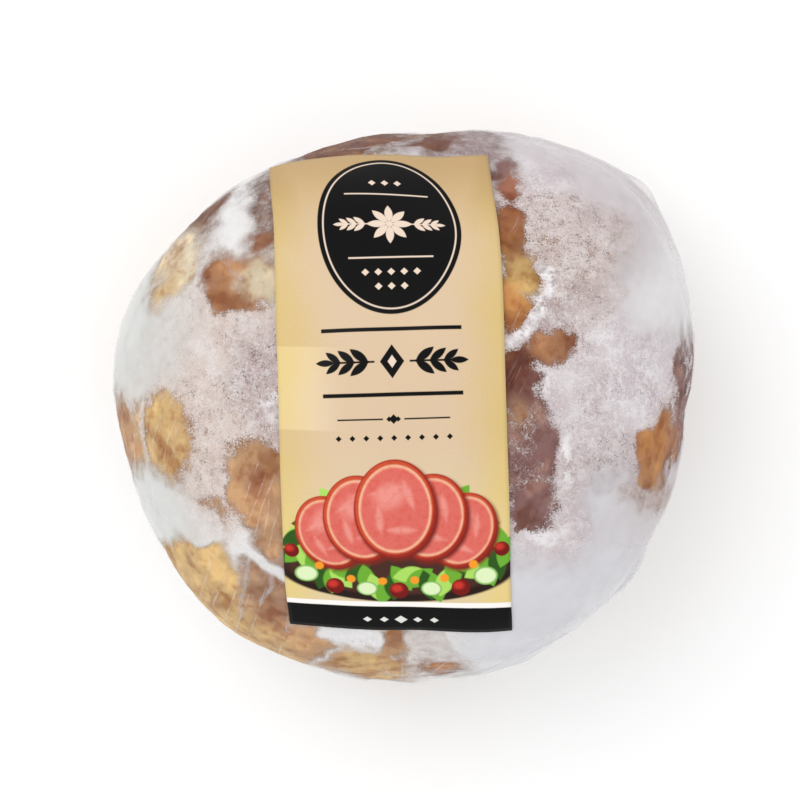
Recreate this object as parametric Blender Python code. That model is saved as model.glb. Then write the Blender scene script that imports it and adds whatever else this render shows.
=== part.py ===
"""A frozen boneless ham, vacuum packed in clear film, lying on its back with its label up.

Units are metres, +Z is up, and the origin is at the middle of the underside.
The pack is one rounded solid, worked out from its three main sizes and a few named lobes.
The label is a thin sheet that is laid over it, step by step, from the label's middle.
"""
import math
from collections import namedtuple

import bmesh
import bpy
from mathutils import Vector, noise
from mathutils.bvhtree import BVHTree

MM = 0.001

# Driving sizes of the pack, before its lobes
HALF_WIDTH = 75.8 * MM
HALF_LENGTH = 73.6 * MM
RISE_ABOVE_EQUATOR = 58.5 * MM
DROP_BELOW_EQUATOR = 53.5 * MM
CROWN_FULLNESS = 2.12
BELLY_FULLNESS = 2.45

# An oval outline has a squareness of 2. The crown squares up to this, between two elevations
CROWN_SQUARENESS = 3.6
SQUARING_STARTS = 12
SQUARING_ENDS = 42

# The pack has settled on its underside, which is flat in the middle
FLOOR_DROP = 46.8 * MM
FLOOR_BLEND = 3.0 * MM

# Low mounds of frost and fat that lift the film, by their height and their width
MOUND_HEIGHT = 0.32 * MM
MOUND_WIDTH = 13.0 * MM

# Cuts along each edge of the cube that becomes the pack's skin
SKIN_CUTS = 27

# A swelling or a hollow of the skin. Bearing is counted from +X towards +Y, elevation from the
# equator up, both in degrees, and a pointed one is a corner of film that is drawn out
Lobe = namedtuple("Lobe", "bearing elevation height round_spread up_spread pointed")
LOBES = {
    "drawn out film corner": Lobe(42, -2, 13.4 * MM, 43, 50, True),
    "lower film corner": Lobe(323, -4, 2.6 * MM, 10, 22, True),
    "dent above the lower corner": Lobe(332, 0, -1.1 * MM, 9, 18, False),
    "film edge under the right side": Lobe(293, -6, 2.2 * MM, 17, 20, False),
    "seal ridge of the bag": Lobe(2, -13, 1.5 * MM, 44, 14, False),
    "butt swelling on the left": Lobe(164, 4, 3.0 * MM, 30, 48, False),
    "corner of the lower left": Lobe(231, -2, 1.5 * MM, 17, 26, False),
    "hollow above the lower left": Lobe(204, 2, -1.1 * MM, 22, 40, False),
    "hollow of the upper left": Lobe(116, 0, -1.4 * MM, 26, 24, False),
    "fall of the crown's upper right": Lobe(64, 34, -3.0 * MM, 34, 24, False),
    "shoulder of the crown's upper left": Lobe(118, 34, 0.7 * MM, 34, 24, False),
    "shoulder of the crown's lower right": Lobe(300, 36, 2.2 * MM, 34, 24, False),
    "fall of the crown's lower left": Lobe(238, 36, -1.5 * MM, 34, 24, False),
    "muscle left of the label": Lobe(175, 44, 1.8 * MM, 40, 24, False),
    "muscle right of the label": Lobe(350, 46, 2.2 * MM, 46, 26, False),
    "swelling under the back": Lobe(80, -38, 2.0 * MM, 40, 22, False),
    "hollow under the left": Lobe(190, -42, -2.0 * MM, 30, 18, False),
}

# Folds of the film that run out from where the bag's end is gathered, low on the near side
GATHER_BEARING = 276
GATHER_ELEVATION = -24
GATHER_FOLDS = 15
GATHER_FOLD_HEIGHT = 0.75 * MM
GATHER_REACH = 11
GATHER_PUCKER_DEPTH = 2.2 * MM
GATHER_PUCKER_SPREAD = 7

# The label, and the way that it lies: its middle seen from above, and its lean from +Y
LABEL_WIDTH = 56.2 * MM
LABEL_LENGTH = 133.0 * MM
LABEL_THICKNESS = 0.45 * MM
LABEL_GAP = 0.35 * MM
LABEL_MIDDLE = (-3.3 * MM, 6.4 * MM)
LABEL_LEAN = 1.6
LABEL_CELLS_ACROSS = 12
LABEL_CELLS_ALONG = 30
LABEL_STEPS_PER_CELL = 3

FROST_WHITE = (0.80, 0.76, 0.75, 1.0)
LABEL_CREAM = (0.76, 0.60, 0.37, 1.0)


def clear_scene():
    """Remove every object that is in the scene."""
    for obj in list(bpy.data.objects):
        bpy.data.objects.remove(obj, do_unlink=True)


def plain_material(name, colour, roughness):
    """A Principled BSDF with one colour and roughness, and no metal."""
    material = bpy.data.materials.new(name)
    material.use_nodes = True
    shader = material.node_tree.nodes["Principled BSDF"]
    shader.inputs["Base Color"].default_value = colour
    shader.inputs["Roughness"].default_value = roughness
    shader.inputs["Metallic"].default_value = 0.0
    return material


def direction(bearing, elevation):
    """The unit vector that points along a bearing and an elevation in degrees."""
    turn = math.radians(bearing)
    lift = math.radians(elevation)
    return Vector((math.cos(lift) * math.cos(turn), math.cos(lift) * math.sin(turn), math.sin(lift)))


def base_radius(way):
    """How far the plain rounded form reaches from its centre along a unit vector."""
    if way.z > 0:
        height, fullness = RISE_ABOVE_EQUATOR, CROWN_FULLNESS
    else:
        height, fullness = DROP_BELOW_EQUATOR, BELLY_FULLNESS
    elevation = math.degrees(math.asin(max(-1.0, min(1.0, way.z))))
    squaring = (elevation - SQUARING_STARTS) / (SQUARING_ENDS - SQUARING_STARTS)
    squareness = 2 + (CROWN_SQUARENESS - 2) * max(0.0, min(1.0, squaring))
    sides = abs(way.x / HALF_WIDTH) ** squareness + abs(way.y / HALF_LENGTH) ** squareness
    flat_part = sides ** (1 / squareness)
    upright_part = abs(way.z) / height
    return (flat_part**fullness + upright_part**fullness) ** (-1 / fullness)


def lobe_height(lobe, way):
    """What one lobe adds to the radius along a unit vector."""
    bearing = math.degrees(math.atan2(way.y, way.x))
    elevation = math.degrees(math.asin(max(-1.0, min(1.0, way.z))))
    turn = (bearing - lobe.bearing + 180) % 360 - 180
    turn *= math.cos(math.radians(elevation)) / math.cos(math.radians(lobe.elevation))
    reach = math.hypot(turn / lobe.round_spread, (elevation - lobe.elevation) / lobe.up_spread)
    share = max(0.0, 1 - reach)
    if not lobe.pointed:
        share = share * share * (3 - 2 * share)
    return lobe.height * share


def gather_height(way):
    """The folds that run out from the gathered end of the bag, and the pucker at their middle."""
    middle = direction(GATHER_BEARING, GATHER_ELEVATION)
    east = Vector((0, 0, 1)).cross(middle).normalized()
    north = middle.cross(east)
    away = math.degrees(middle.angle(way))
    around = math.atan2(way.dot(north), way.dot(east))
    swell = (away / GATHER_REACH) * math.exp(1 - away / GATHER_REACH)
    folds = GATHER_FOLD_HEIGHT * swell * math.cos(GATHER_FOLDS * around + math.sin(3 * around))
    pucker = -GATHER_PUCKER_DEPTH * math.exp(-((away / GATHER_PUCKER_SPREAD) ** 2))
    return folds + pucker


def settled(height):
    """A height above the equator, after the pack has settled flat on its underside."""
    over = height + FLOOR_DROP
    if over >= FLOOR_BLEND:
        return height
    return -FLOOR_DROP + max(0.0, over + FLOOR_BLEND) ** 2 / (4 * FLOOR_BLEND)


def skin_point(way):
    """The point of the pack's skin along a unit vector from the middle of its equator."""
    radius = base_radius(way) + gather_height(way)
    radius += sum(lobe_height(lobe, way) for lobe in LOBES.values())
    radius += MOUND_HEIGHT * noise.noise(way * (radius / MOUND_WIDTH))
    point = way * radius
    point.z = settled(point.z)
    return point


def make_pack(collection):
    """The ham in its film: a finely cut cube, blown up to the skin and set down on the origin."""
    mesh = bpy.data.meshes.new("pack")
    form = bmesh.new()
    bmesh.ops.create_cube(form, size=2)
    bmesh.ops.subdivide_edges(form, edges=form.edges, cuts=SKIN_CUTS, use_grid_fill=True)
    for vertex in form.verts:
        even = Vector(math.tan(side * math.pi / 4) for side in vertex.co)
        vertex.co = skin_point(even.normalized())
    lows = [min(vertex.co[axis] for vertex in form.verts) for axis in range(3)]
    highs = [max(vertex.co[axis] for vertex in form.verts) for axis in range(3)]
    middle = Vector(((lows[0] + highs[0]) / 2, (lows[1] + highs[1]) / 2, lows[2]))
    bmesh.ops.translate(form, verts=form.verts, vec=-middle)
    bmesh.ops.triangulate(form, faces=form.faces)
    form.to_mesh(mesh)
    form.free()
    mesh.shade_smooth()
    mesh.materials.append(plain_material("frosted film", FROST_WHITE, 0.45))
    pack = bpy.data.objects.new("pack", mesh)
    collection.objects.link(pack)
    return pack


def walk(skin, start, heading, distance, steps):
    """Points and normals met on the skin by going a distance from a point, the way heading says."""
    point, normal = skin.find_nearest(start)[:2]
    found = [(point, normal)]
    for _ in range(steps):
        along = (heading - normal * heading.dot(normal)).normalized()
        point, normal = skin.find_nearest(point + along * (distance / steps))[:2]
        found.append((point, normal))
    return found


def both_ways(skin, start, heading, length, cells):
    """The points and normals at the ends of the cells of a line through start, from end to end."""
    steps = cells // 2 * LABEL_STEPS_PER_CELL
    ahead = walk(skin, start, heading, length / 2, steps)[::LABEL_STEPS_PER_CELL]
    back = walk(skin, start, -heading, length / 2, steps)[::LABEL_STEPS_PER_CELL]
    return back[:0:-1] + ahead


def label_layers(skin):
    """Rows of points of the label's under side and of its printed side, each split alike."""
    lean = math.radians(LABEL_LEAN)
    along = Vector((-math.sin(lean), math.cos(lean), 0))
    across = Vector((math.cos(lean), math.sin(lean), 0))
    crown = skin.ray_cast(Vector((*LABEL_MIDDLE, 1.0)), Vector((0, 0, -1)))[0]
    under, printed = [], []
    for point, _ in both_ways(skin, crown, along, LABEL_LENGTH, LABEL_CELLS_ALONG):
        row = both_ways(skin, point, across, LABEL_WIDTH, LABEL_CELLS_ACROSS)
        under.append([spot + normal * LABEL_GAP for spot, normal in row])
        printed.append([spot + normal * (LABEL_GAP + LABEL_THICKNESS) for spot, normal in row])
    return under, printed


def make_label(collection, pack):
    """The label: a thin sheet that follows the pack's crown, with a small gap under it."""
    form = bmesh.new()
    form.from_mesh(pack.data)
    skin = BVHTree.FromBMesh(form)
    form.clear()
    under, printed = [
        [[form.verts.new(point) for point in row] for row in layer] for layer in label_layers(skin)
    ]
    rows = len(printed)
    columns = len(printed[0])
    for i in range(rows - 1):
        for j in range(columns - 1):
            form.faces.new((printed[i][j], printed[i][j + 1], printed[i + 1][j + 1]))
            form.faces.new((printed[i][j], printed[i + 1][j + 1], printed[i + 1][j]))
            form.faces.new((under[i][j], under[i + 1][j + 1], under[i][j + 1]))
            form.faces.new((under[i][j], under[i + 1][j], under[i + 1][j + 1]))
    rim = [(0, j) for j in range(columns)]
    rim += [(i, columns - 1) for i in range(1, rows)]
    rim += [(rows - 1, j) for j in range(columns - 2, -1, -1)]
    rim += [(i, 0) for i in range(rows - 2, 0, -1)]
    for (i, j), (k, m) in zip(rim, rim[1:] + rim[:1]):
        form.faces.new((printed[k][m], printed[i][j], under[i][j], under[k][m]))
    bmesh.ops.recalc_face_normals(form, faces=form.faces)
    mesh = bpy.data.meshes.new("label")
    form.to_mesh(mesh)
    form.free()
    mesh.materials.append(plain_material("printed label", LABEL_CREAM, 0.4))
    label = bpy.data.objects.new("label", mesh)
    collection.objects.link(label)
    return label


def main():
    """Build the pack and lay its label on it."""
    clear_scene()
    collection = bpy.data.collections.new("packed ham")
    bpy.context.scene.collection.children.link(collection)
    pack = make_pack(collection)
    make_label(collection, pack)


main()
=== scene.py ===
"""Looks of a frozen boneless ham in its vacuum pack: meat, frost, clear film and a printed label.

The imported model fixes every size, and each layer lies a little under or over its skin.
What shows on the crown is placed by where it shows in the picture, in pixels of its 800 by 791
frame. The label's print is laid out in millimetres from the label's middle. Every other length is
in metres, unless its name or its description says otherwise.
"""
import logging
import math
from dataclasses import dataclass
from enum import Enum
from itertools import chain
from typing import NamedTuple

import bmesh
import bpy
import numpy as np
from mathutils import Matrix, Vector, noise
from mathutils.bvhtree import BVHTree


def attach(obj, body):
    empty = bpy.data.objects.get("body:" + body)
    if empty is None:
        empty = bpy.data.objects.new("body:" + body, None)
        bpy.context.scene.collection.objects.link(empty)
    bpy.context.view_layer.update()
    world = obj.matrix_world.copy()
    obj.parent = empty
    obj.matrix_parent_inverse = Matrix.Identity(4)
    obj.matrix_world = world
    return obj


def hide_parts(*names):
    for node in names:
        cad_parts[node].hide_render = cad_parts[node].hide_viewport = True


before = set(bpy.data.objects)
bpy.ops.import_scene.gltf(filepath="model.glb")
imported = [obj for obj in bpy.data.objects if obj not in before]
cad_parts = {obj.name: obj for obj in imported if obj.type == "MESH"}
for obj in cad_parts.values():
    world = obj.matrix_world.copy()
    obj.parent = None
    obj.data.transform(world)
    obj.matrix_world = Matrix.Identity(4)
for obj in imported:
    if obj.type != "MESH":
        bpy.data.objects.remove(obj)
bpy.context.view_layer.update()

logging.basicConfig(level=logging.INFO, format="%(message)s")
LOG = logging.getLogger("frozen ham")

MM = 0.001

Colour = tuple[float, float, float, float]
Triple = tuple[float, float, float]
Socket = bpy.types.NodeSocket


def ink(red: int, green: int, blue: int) -> Colour:
    """Turn a colour as it shows on a screen into the linear one that a shader takes.

    Args:
        red: Red from 0 to 255.
        green: Green from 0 to 255.
        blue: Blue from 0 to 255.

    Returns:
        The linear colour, with an alpha of 1.
    """
    shares = [level / 255 for level in (red, green, blue)]
    linear = [s / 12.92 if s <= 0.04045 else ((s + 0.055) / 1.055) ** 2.4 for s in shares]
    return (*linear, 1.0)


def eased(values: np.ndarray, low: float, high: float) -> np.ndarray:
    """Rise smoothly from 0 at low to 1 at high.

    Args:
        values: Any numbers.
        low: Where the rise starts.
        high: Where it ends, which may be below low.

    Returns:
        A share from 0 to 1 for each value.
    """
    share = np.clip((values - low) / (high - low), 0, 1)
    return share * share * (3 - 2 * share)


class Swell(Enum):
    """The soft noises: how wide one swell of each is, in millimetres, and its seed."""

    WANDER_RIGHT = (9, 1)
    WANDER_DOWN = (9, 2)
    RIPPLE_RIGHT = (3, 3)
    RIPPLE_DOWN = (3, 4)
    HIDDEN_PATCH = (26, 5)
    HIDDEN_DETAIL = (9, 6)
    HIDDEN_GOLD = (17, 7)
    HIDDEN_FAT = (8, 8)
    HIDDEN_FROST = (21, 9)
    LOWER_LIMIT = (13, 10)
    MUSCLE = (14, 11)
    RIND = (5, 12)
    FIBRE = (2.2, 13)
    SEAM = (30, 14)
    FROST_LUMP = (4.5, 21)
    FROST_GRIT = (2.0, 22)
    FROST_FLUFF = (2.2, 23)
    FILM_RIPPLE = (7, 31)
    WRINKLE = (11, 41)
    FINE_WRINKLE = (5, 42)
    CALM = (24, 43)


SEED_STEP = (7.1, -3.7, 5.3)


def rumple(points: np.ndarray, swell: Swell) -> np.ndarray:
    """Soft noise over a set of points.

    Args:
        points: One row for each point.
        swell: Which of the noises.

    Returns:
        A value from about -1 to 1 for each point.
    """
    width, seed = swell.value
    shift = Vector([seed * step for step in SEED_STEP])
    return np.array([noise.noise(Vector(row) + shift) for row in points / (width * MM)])


class Meat(Enum):
    """The meat and fat that show through the clear film, by their colours on a screen."""

    GOLD = (192, 160, 108)
    TAN = (170, 132, 96)
    BROWN = (152, 103, 66)
    AMBER = (166, 111, 58)
    RUST = (148, 88, 60)
    DARK = (90, 34, 18)
    MAUVE = (150, 114, 90)
    PLUM = (120, 84, 82)
    CHESTNUT = (136, 80, 40)
    EDGE = (100, 52, 24)
    FAT = (202, 192, 172)
    PALE_FAT = (194, 181, 154)
    OLIVE_FAT = (186, 156, 98)

    def tone(self) -> np.ndarray:
        """Its linear colour."""
        return np.array(ink(*self.value)[:3])


class Frost(Enum):
    """The kinds of frost: the colour on a screen, how grainy it is and how fogged the film is."""

    FOG = ((220, 222, 219), 0.0, 0.75)
    SNOW = ((230, 229, 228), 0.2, 0.3)
    ROSE = ((213, 199, 192), 0.75, 0.12)
    LILAC = ((207, 196, 199), 1.0, 0.1)
    SUGAR = ((178, 160, 158), 1.0, 0.05)
    HAZE = ((212, 203, 206), 0.15, 0.65)
    COLD = ((222, 221, 226), 0.0, 0.8)
    PALE_FOG = ((234, 232, 233), 0.0, 0.75)

    def tone(self) -> np.ndarray:
        """Its linear colour, graininess and fog, in one row."""
        tint, grain, fog = self.value
        return np.array([*ink(*tint)[:3], grain, fog])


@dataclass(frozen=True)
class Oval:
    """An oval of the crown: its middle, half sizes and turn, as they show in the picture."""

    x: float
    y: float
    half_width: float
    half_height: float
    turn: float = 0.0

    def inside(self, seen: np.ndarray) -> np.ndarray:
        """How far inside the oval each place is, in pixels, and below 0 outside it."""
        turn = math.radians(self.turn)
        right = seen[:, 0] - self.x
        up = self.y - seen[:, 1]
        long_way = (right * math.cos(turn) + up * math.sin(turn)) / self.half_width
        short_way = (up * math.cos(turn) - right * math.sin(turn)) / self.half_height
        return (1 - np.hypot(long_way, short_way)) * min(self.half_width, self.half_height)


@dataclass(frozen=True)
class Window:
    """A place where the meat shows, or tints thin frost where its clearness is below 0.

    The clearness goes from -1 under thick frost to 1 where the place is bare, and it fades to
    frost over this many pixels.
    """

    oval: Oval
    meat: Meat
    clearness: float = 1.0
    fade: float = 10.0


@dataclass(frozen=True)
class Stroke:
    """A streak of frost that is caught in a fold of the film, along a line of the picture."""

    line: tuple[tuple[float, float], ...]
    half_width: float
    strength: float = 1.0

    def inside(self, seen: np.ndarray) -> np.ndarray:
        """How far inside the streak each place is, in pixels, and below 0 outside it."""
        nearest = np.full(len(seen), np.inf)
        for start, end in zip(self.line, self.line[1:]):
            first, last = np.array(start), np.array(end)
            run = last - first
            share = np.clip((seen - first) @ run / (run @ run), 0, 1)
            gap = np.linalg.norm(seen - first - share[:, None] * run, axis=1)
            nearest = np.minimum(nearest, gap)
        return self.half_width - nearest


@dataclass(frozen=True)
class FrostSpot:
    """A middle of one kind of frost, and how far it spreads, in pixels of the picture."""

    kind: Frost
    x: float
    y: float
    spread: float


WINDOWS = {
    "rind at the upper left edge": Window(Oval(208, 214, 30, 13, 46), Meat.EDGE),
    "fat strip of the upper left": Window(Oval(180, 262, 45, 18, 58), Meat.FAT, 0.9, 14),
    "gold of the upper left": Window(Oval(166, 282, 31, 13, 62), Meat.GOLD, 1.0, 13),
    "speckled rind by the label": Window(Oval(264, 210, 15, 34), Meat.EDGE, 0.3, 14),
    "rind over the hooked patch": Window(Oval(261, 243, 19, 14), Meat.BROWN),
    "hooked patch": Window(Oval(222, 286, 19, 28), Meat.BROWN),
    "upper arm of the hook": Window(Oval(237, 263, 18, 10, 20), Meat.BROWN),
    "lower arm of the hook": Window(Oval(240, 300, 19, 12, -24), Meat.BROWN),
    "fat in the hook": Window(Oval(257, 278, 23, 24), Meat.PALE_FAT, 0.7, 10),
    "brown band at the left edge": Window(Oval(124, 435, 40, 13, -78), Meat.TAN),
    "streaked gold on the left": Window(Oval(163, 436, 29, 42, 4), Meat.GOLD, 1.0, 15),
    "faint spot on the left": Window(Oval(207, 511, 16, 14), Meat.TAN, 0.2, 14),
    "streaked brown by the label": Window(Oval(258, 486, 33, 52, 8), Meat.TAN, 1.0, 12),
    "rust in the streaked brown": Window(Oval(257, 494, 12, 20), Meat.RUST),
    "foot of the streaked brown": Window(Oval(272, 536, 19, 34, 20), Meat.TAN),
    "golden lower left": Window(Oval(196, 580, 46, 36, -45), Meat.GOLD),
    "golden belly": Window(Oval(238, 622, 92, 32, -40), Meat.GOLD),
    "mauve of the belly": Window(Oval(268, 594, 32, 42, 12), Meat.MAUVE, 0.9, 12),
    "red of the belly": Window(Oval(268, 618, 13, 9), Meat.RUST),
    "gold under the label": Window(Oval(312, 648, 42, 18, -26), Meat.TAN, 0.7),
    "gold at the near edge": Window(Oval(368, 666, 44, 16, -8), Meat.GOLD, 0.7),
    "brown under the label": Window(Oval(394, 645, 16, 26), Meat.TAN),
    "tan under the label": Window(Oval(428, 648, 28, 18), Meat.TAN, -0.36, 12),
    "tan at the near edge": Window(Oval(442, 668, 24, 9, -4), Meat.BROWN, 0.6),
    "brown over the label's left": Window(Oval(350, 144, 66, 17, 9), Meat.EDGE),
    "brown over the label's right": Window(Oval(430, 141, 40, 16, 0), Meat.EDGE, 0.8),
    "mottle over the label": Window(Oval(472, 145, 34, 16, -6), Meat.PLUM, 0.1, 14),
    "grey spot at the upper right": Window(Oval(503, 170, 14, 13), Meat.PLUM, 0.7),
    "brown spot at the upper right": Window(Oval(514, 188, 11, 14), Meat.RUST),
    "brown right of the label": Window(Oval(511, 236, 20, 31, 6), Meat.CHESTNUT, 1.0, 8),
    "fat right of the label": Window(Oval(523, 268, 26, 15, -62), Meat.OLIVE_FAT, 1.0, 7),
    "amber right of the label": Window(Oval(513, 306, 19, 32), Meat.AMBER, 1.0, 8),
    "tan veil of the upper right": Window(Oval(566, 236, 50, 30, -10), Meat.TAN, -0.3, 30),
    "cream veil of the upper right": Window(Oval(582, 286, 32, 28), Meat.TAN, -0.5, 22),
    "star": Window(Oval(553, 347, 23, 19, 10), Meat.BROWN, 1.0, 10),
    "dark strip": Window(Oval(519, 378, 21, 40), Meat.DARK, 1.0, 9),
    "olive fat in the dark strip": Window(Oval(517, 418, 11, 16), Meat.TAN),
    "mauve under the dark strip": Window(Oval(523, 446, 26, 58), Meat.PLUM, 0.3, 16),
    "plum strip": Window(Oval(541, 450, 14, 30, 4), Meat.PLUM, 0.7),
    "plum patch": Window(Oval(530, 503, 24, 26, 10), Meat.PLUM, 0.6, 12),
    "golden patch at the right edge": Window(Oval(660, 452, 44, 18, 76), Meat.AMBER, 1.0, 8),
    "fade under the golden patch": Window(Oval(650, 488, 20, 24), Meat.TAN, -0.05, 16),
    "dark streak at the right edge": Window(Oval(686, 376, 46, 10, 92), Meat.PLUM, 0.6, 9),
    "lower streak at the right edge": Window(Oval(684, 424, 28, 9, 84), Meat.PLUM, 0.5, 9),
    "grey veil of the right": Window(Oval(625, 466, 26, 20), Meat.PLUM, -0.35, 18),
    "rosy veil of the left": Window(Oval(204, 452, 44, 66), Meat.TAN, -0.42, 24),
    "rosy veil under the hook": Window(Oval(190, 344, 52, 44), Meat.TAN, -0.58, 26),
    "grey veil by the label": Window(Oval(256, 370, 34, 60), Meat.PLUM, -0.42, 26),
    "plum veil right of the label": Window(Oval(548, 420, 44, 110), Meat.PLUM, -0.6, 26),
}

STROKES = {
    "diagonal streak of the belly": Stroke(((214, 530), (248, 552), (292, 586)), 6.0),
    "upright streak of the belly": Stroke(((247, 562), (241, 598), (236, 622)), 2.2, 0.5),
    "second upright streak": Stroke(((272, 568), (266, 592), (260, 604)), 2.2, 0.5),
    "strip at the left edge": Stroke(((142, 396), (142, 430), (146, 474)), 3.5, 0.7),
    "smooth frost under the gold": Stroke(((146, 500), (178, 512), (204, 530)), 19.0),
    "faint streak at the near edge": Stroke(((314, 664), (332, 652), (350, 648)), 4.0, 0.6),
    "drift under the label": Stroke(((324, 634), (352, 644), (376, 640)), 8.0),
    "first ray of the gather": Stroke(((411, 632), (414, 652), (408, 676)), 3.5, 0.5),
    "second ray of the gather": Stroke(((432, 634), (436, 650), (430, 664)), 3.5, 0.5),
    "third ray of the gather": Stroke(((450, 632), (464, 650), (486, 662)), 7.0, 0.9),
    "bow of the gather": Stroke(((392, 660), (422, 652), (452, 655)), 2.2, 0.5),
    "streak over the label": Stroke(((366, 150), (398, 144), (424, 136)), 2.2, 0.6),
    "drift by the fat": Stroke(((543, 264), (554, 280), (546, 302), (534, 318)), 8.0),
    "drift over the star": Stroke(((506, 344), (522, 338), (534, 324)), 8.0),
    "drift by the plum": Stroke(((566, 440), (560, 470), (572, 500)), 6.0),
}

CLUMPS = {
    "clump by the fat": Oval(551, 278, 17, 19, -20),
    "clump between the fat and the star": Oval(540, 306, 12, 18, -30),
    "clump over the star": Oval(522, 337, 17, 10, 20),
    "clump under the plum patch": Oval(545, 533, 22, 13, 6),
    "clump by the dark strip": Oval(545, 382, 7, 18, 8),
    "clump by the plum strip": Oval(538, 421, 7, 7),
    "clump right of the plum strip": Oval(566, 462, 10, 24, 10),
    "clump of the upper right": Oval(516, 156, 24, 9, -20),
    "clump of the snow": Oval(236, 196, 26, 11, 48),
    "clump by the label's left": Oval(272, 400, 7, 34),
    "clump under the label": Oval(360, 640, 26, 8),
}

FROST_SPOTS = {
    "fogged left edge": FrostSpot(Frost.FOG, 128, 345, 42),
    "snow of the upper left": FrostSpot(Frost.SNOW, 232, 205, 46),
    "rosy powder of the left": FrostSpot(Frost.ROSE, 200, 385, 52),
    "sugar by the label": FrostSpot(Frost.SUGAR, 262, 385, 30),
    "fogged lower left": FrostSpot(Frost.FOG, 150, 515, 40),
    "powder of the lower left": FrostSpot(Frost.ROSE, 218, 490, 36),
    "snow of the belly": FrostSpot(Frost.SNOW, 262, 575, 40),
    "snow at the near edge": FrostSpot(Frost.SNOW, 380, 650, 60),
    "cold lower right": FrostSpot(Frost.COLD, 545, 640, 52),
    "cold right corner": FrostSpot(Frost.COLD, 628, 585, 40),
    "lilac right": FrostSpot(Frost.LILAC, 600, 400, 62),
    "lilac below the plum": FrostSpot(Frost.LILAC, 560, 520, 30),
    "sugar right of the label": FrostSpot(Frost.SUGAR, 548, 278, 40),
    "sugar by the plum": FrostSpot(Frost.SUGAR, 556, 470, 22),
    "lilac upper right": FrostSpot(Frost.LILAC, 570, 220, 42),
    "haze of the drawn-out corner": FrostSpot(Frost.HAZE, 618, 178, 44),
    "haze over the label": FrostSpot(Frost.HAZE, 500, 142, 30),
    "fogged right edge": FrostSpot(Frost.PALE_FOG, 678, 290, 36),
    "haze of the right edge": FrostSpot(Frost.HAZE, 668, 520, 40),
    "haze of the upper right": FrostSpot(Frost.HAZE, 642, 256, 22),
    "haze below the plum": FrostSpot(Frost.COLD, 606, 500, 22),
}


@dataclass(frozen=True)
class Overhead:
    """The camera straight above the pack, and where points of the pack show in its picture."""

    across: float = -1.2 * MM
    along: float = 2.96 * MM
    height: float = 699 * MM
    lens_mm: float = 109.25
    sensor_mm: float = 36.0
    picture: tuple[int, int] = (800, 791)
    nearest_shown: float = 0.01

    @property
    def scale(self) -> float:
        """How many pixels a thing shows across for its size over its distance."""
        return self.lens_mm / self.sensor_mm * self.picture[0]

    def seen(self, points: np.ndarray) -> np.ndarray:
        """Find where points show in the picture.

        Args:
            points: One row for each point.

        Returns:
            A row for each point: pixels from the left, and pixels from the top.
        """
        scale = self.scale / (self.height - points[:, 2])
        right = self.picture[0] / 2 + (points[:, 0] - self.across) * scale
        down = self.picture[1] / 2 - (points[:, 1] - self.along) * scale
        return np.stack([right, down], axis=1)

    def traced(
        self, skin: BVHTree, line: tuple[tuple[float, float], ...], step: float = 4.0
    ) -> list[Vector]:
        """Lay a line of the picture over a skin.

        Args:
            skin: The skin.
            line: The line's corners, in pixels from the left and the top.
            step: The most pixels between two points.

        Returns:
            Points of the skin along the line.
        """
        eye = Vector((self.across, self.along, self.height))
        found = []
        for start, end in zip(line, line[1:]):
            first, last = Vector(start), Vector(end)
            count = max(2, math.ceil((last - first).length / step))
            for number in range(count + (end == line[-1])):
                spot = first.lerp(last, number / count)
                right, down = spot.x - self.picture[0] / 2, spot.y - self.picture[1] / 2
                way = Vector((right / self.scale, -down / self.scale, -1))
                hit = skin.ray_cast(eye, way)[0]
                if hit is not None:
                    found.append(hit)
        return found

    def build(self) -> None:
        """Make the camera, and make it the scene's own."""
        data = bpy.data.cameras.new("overhead")
        data.lens = self.lens_mm
        data.sensor_width = self.sensor_mm
        data.clip_start = self.nearest_shown
        camera = bpy.data.objects.new("overhead", data)
        camera.location = (self.across, self.along, self.height)
        bpy.context.scene.collection.objects.link(camera)
        bpy.context.scene.camera = camera


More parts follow.
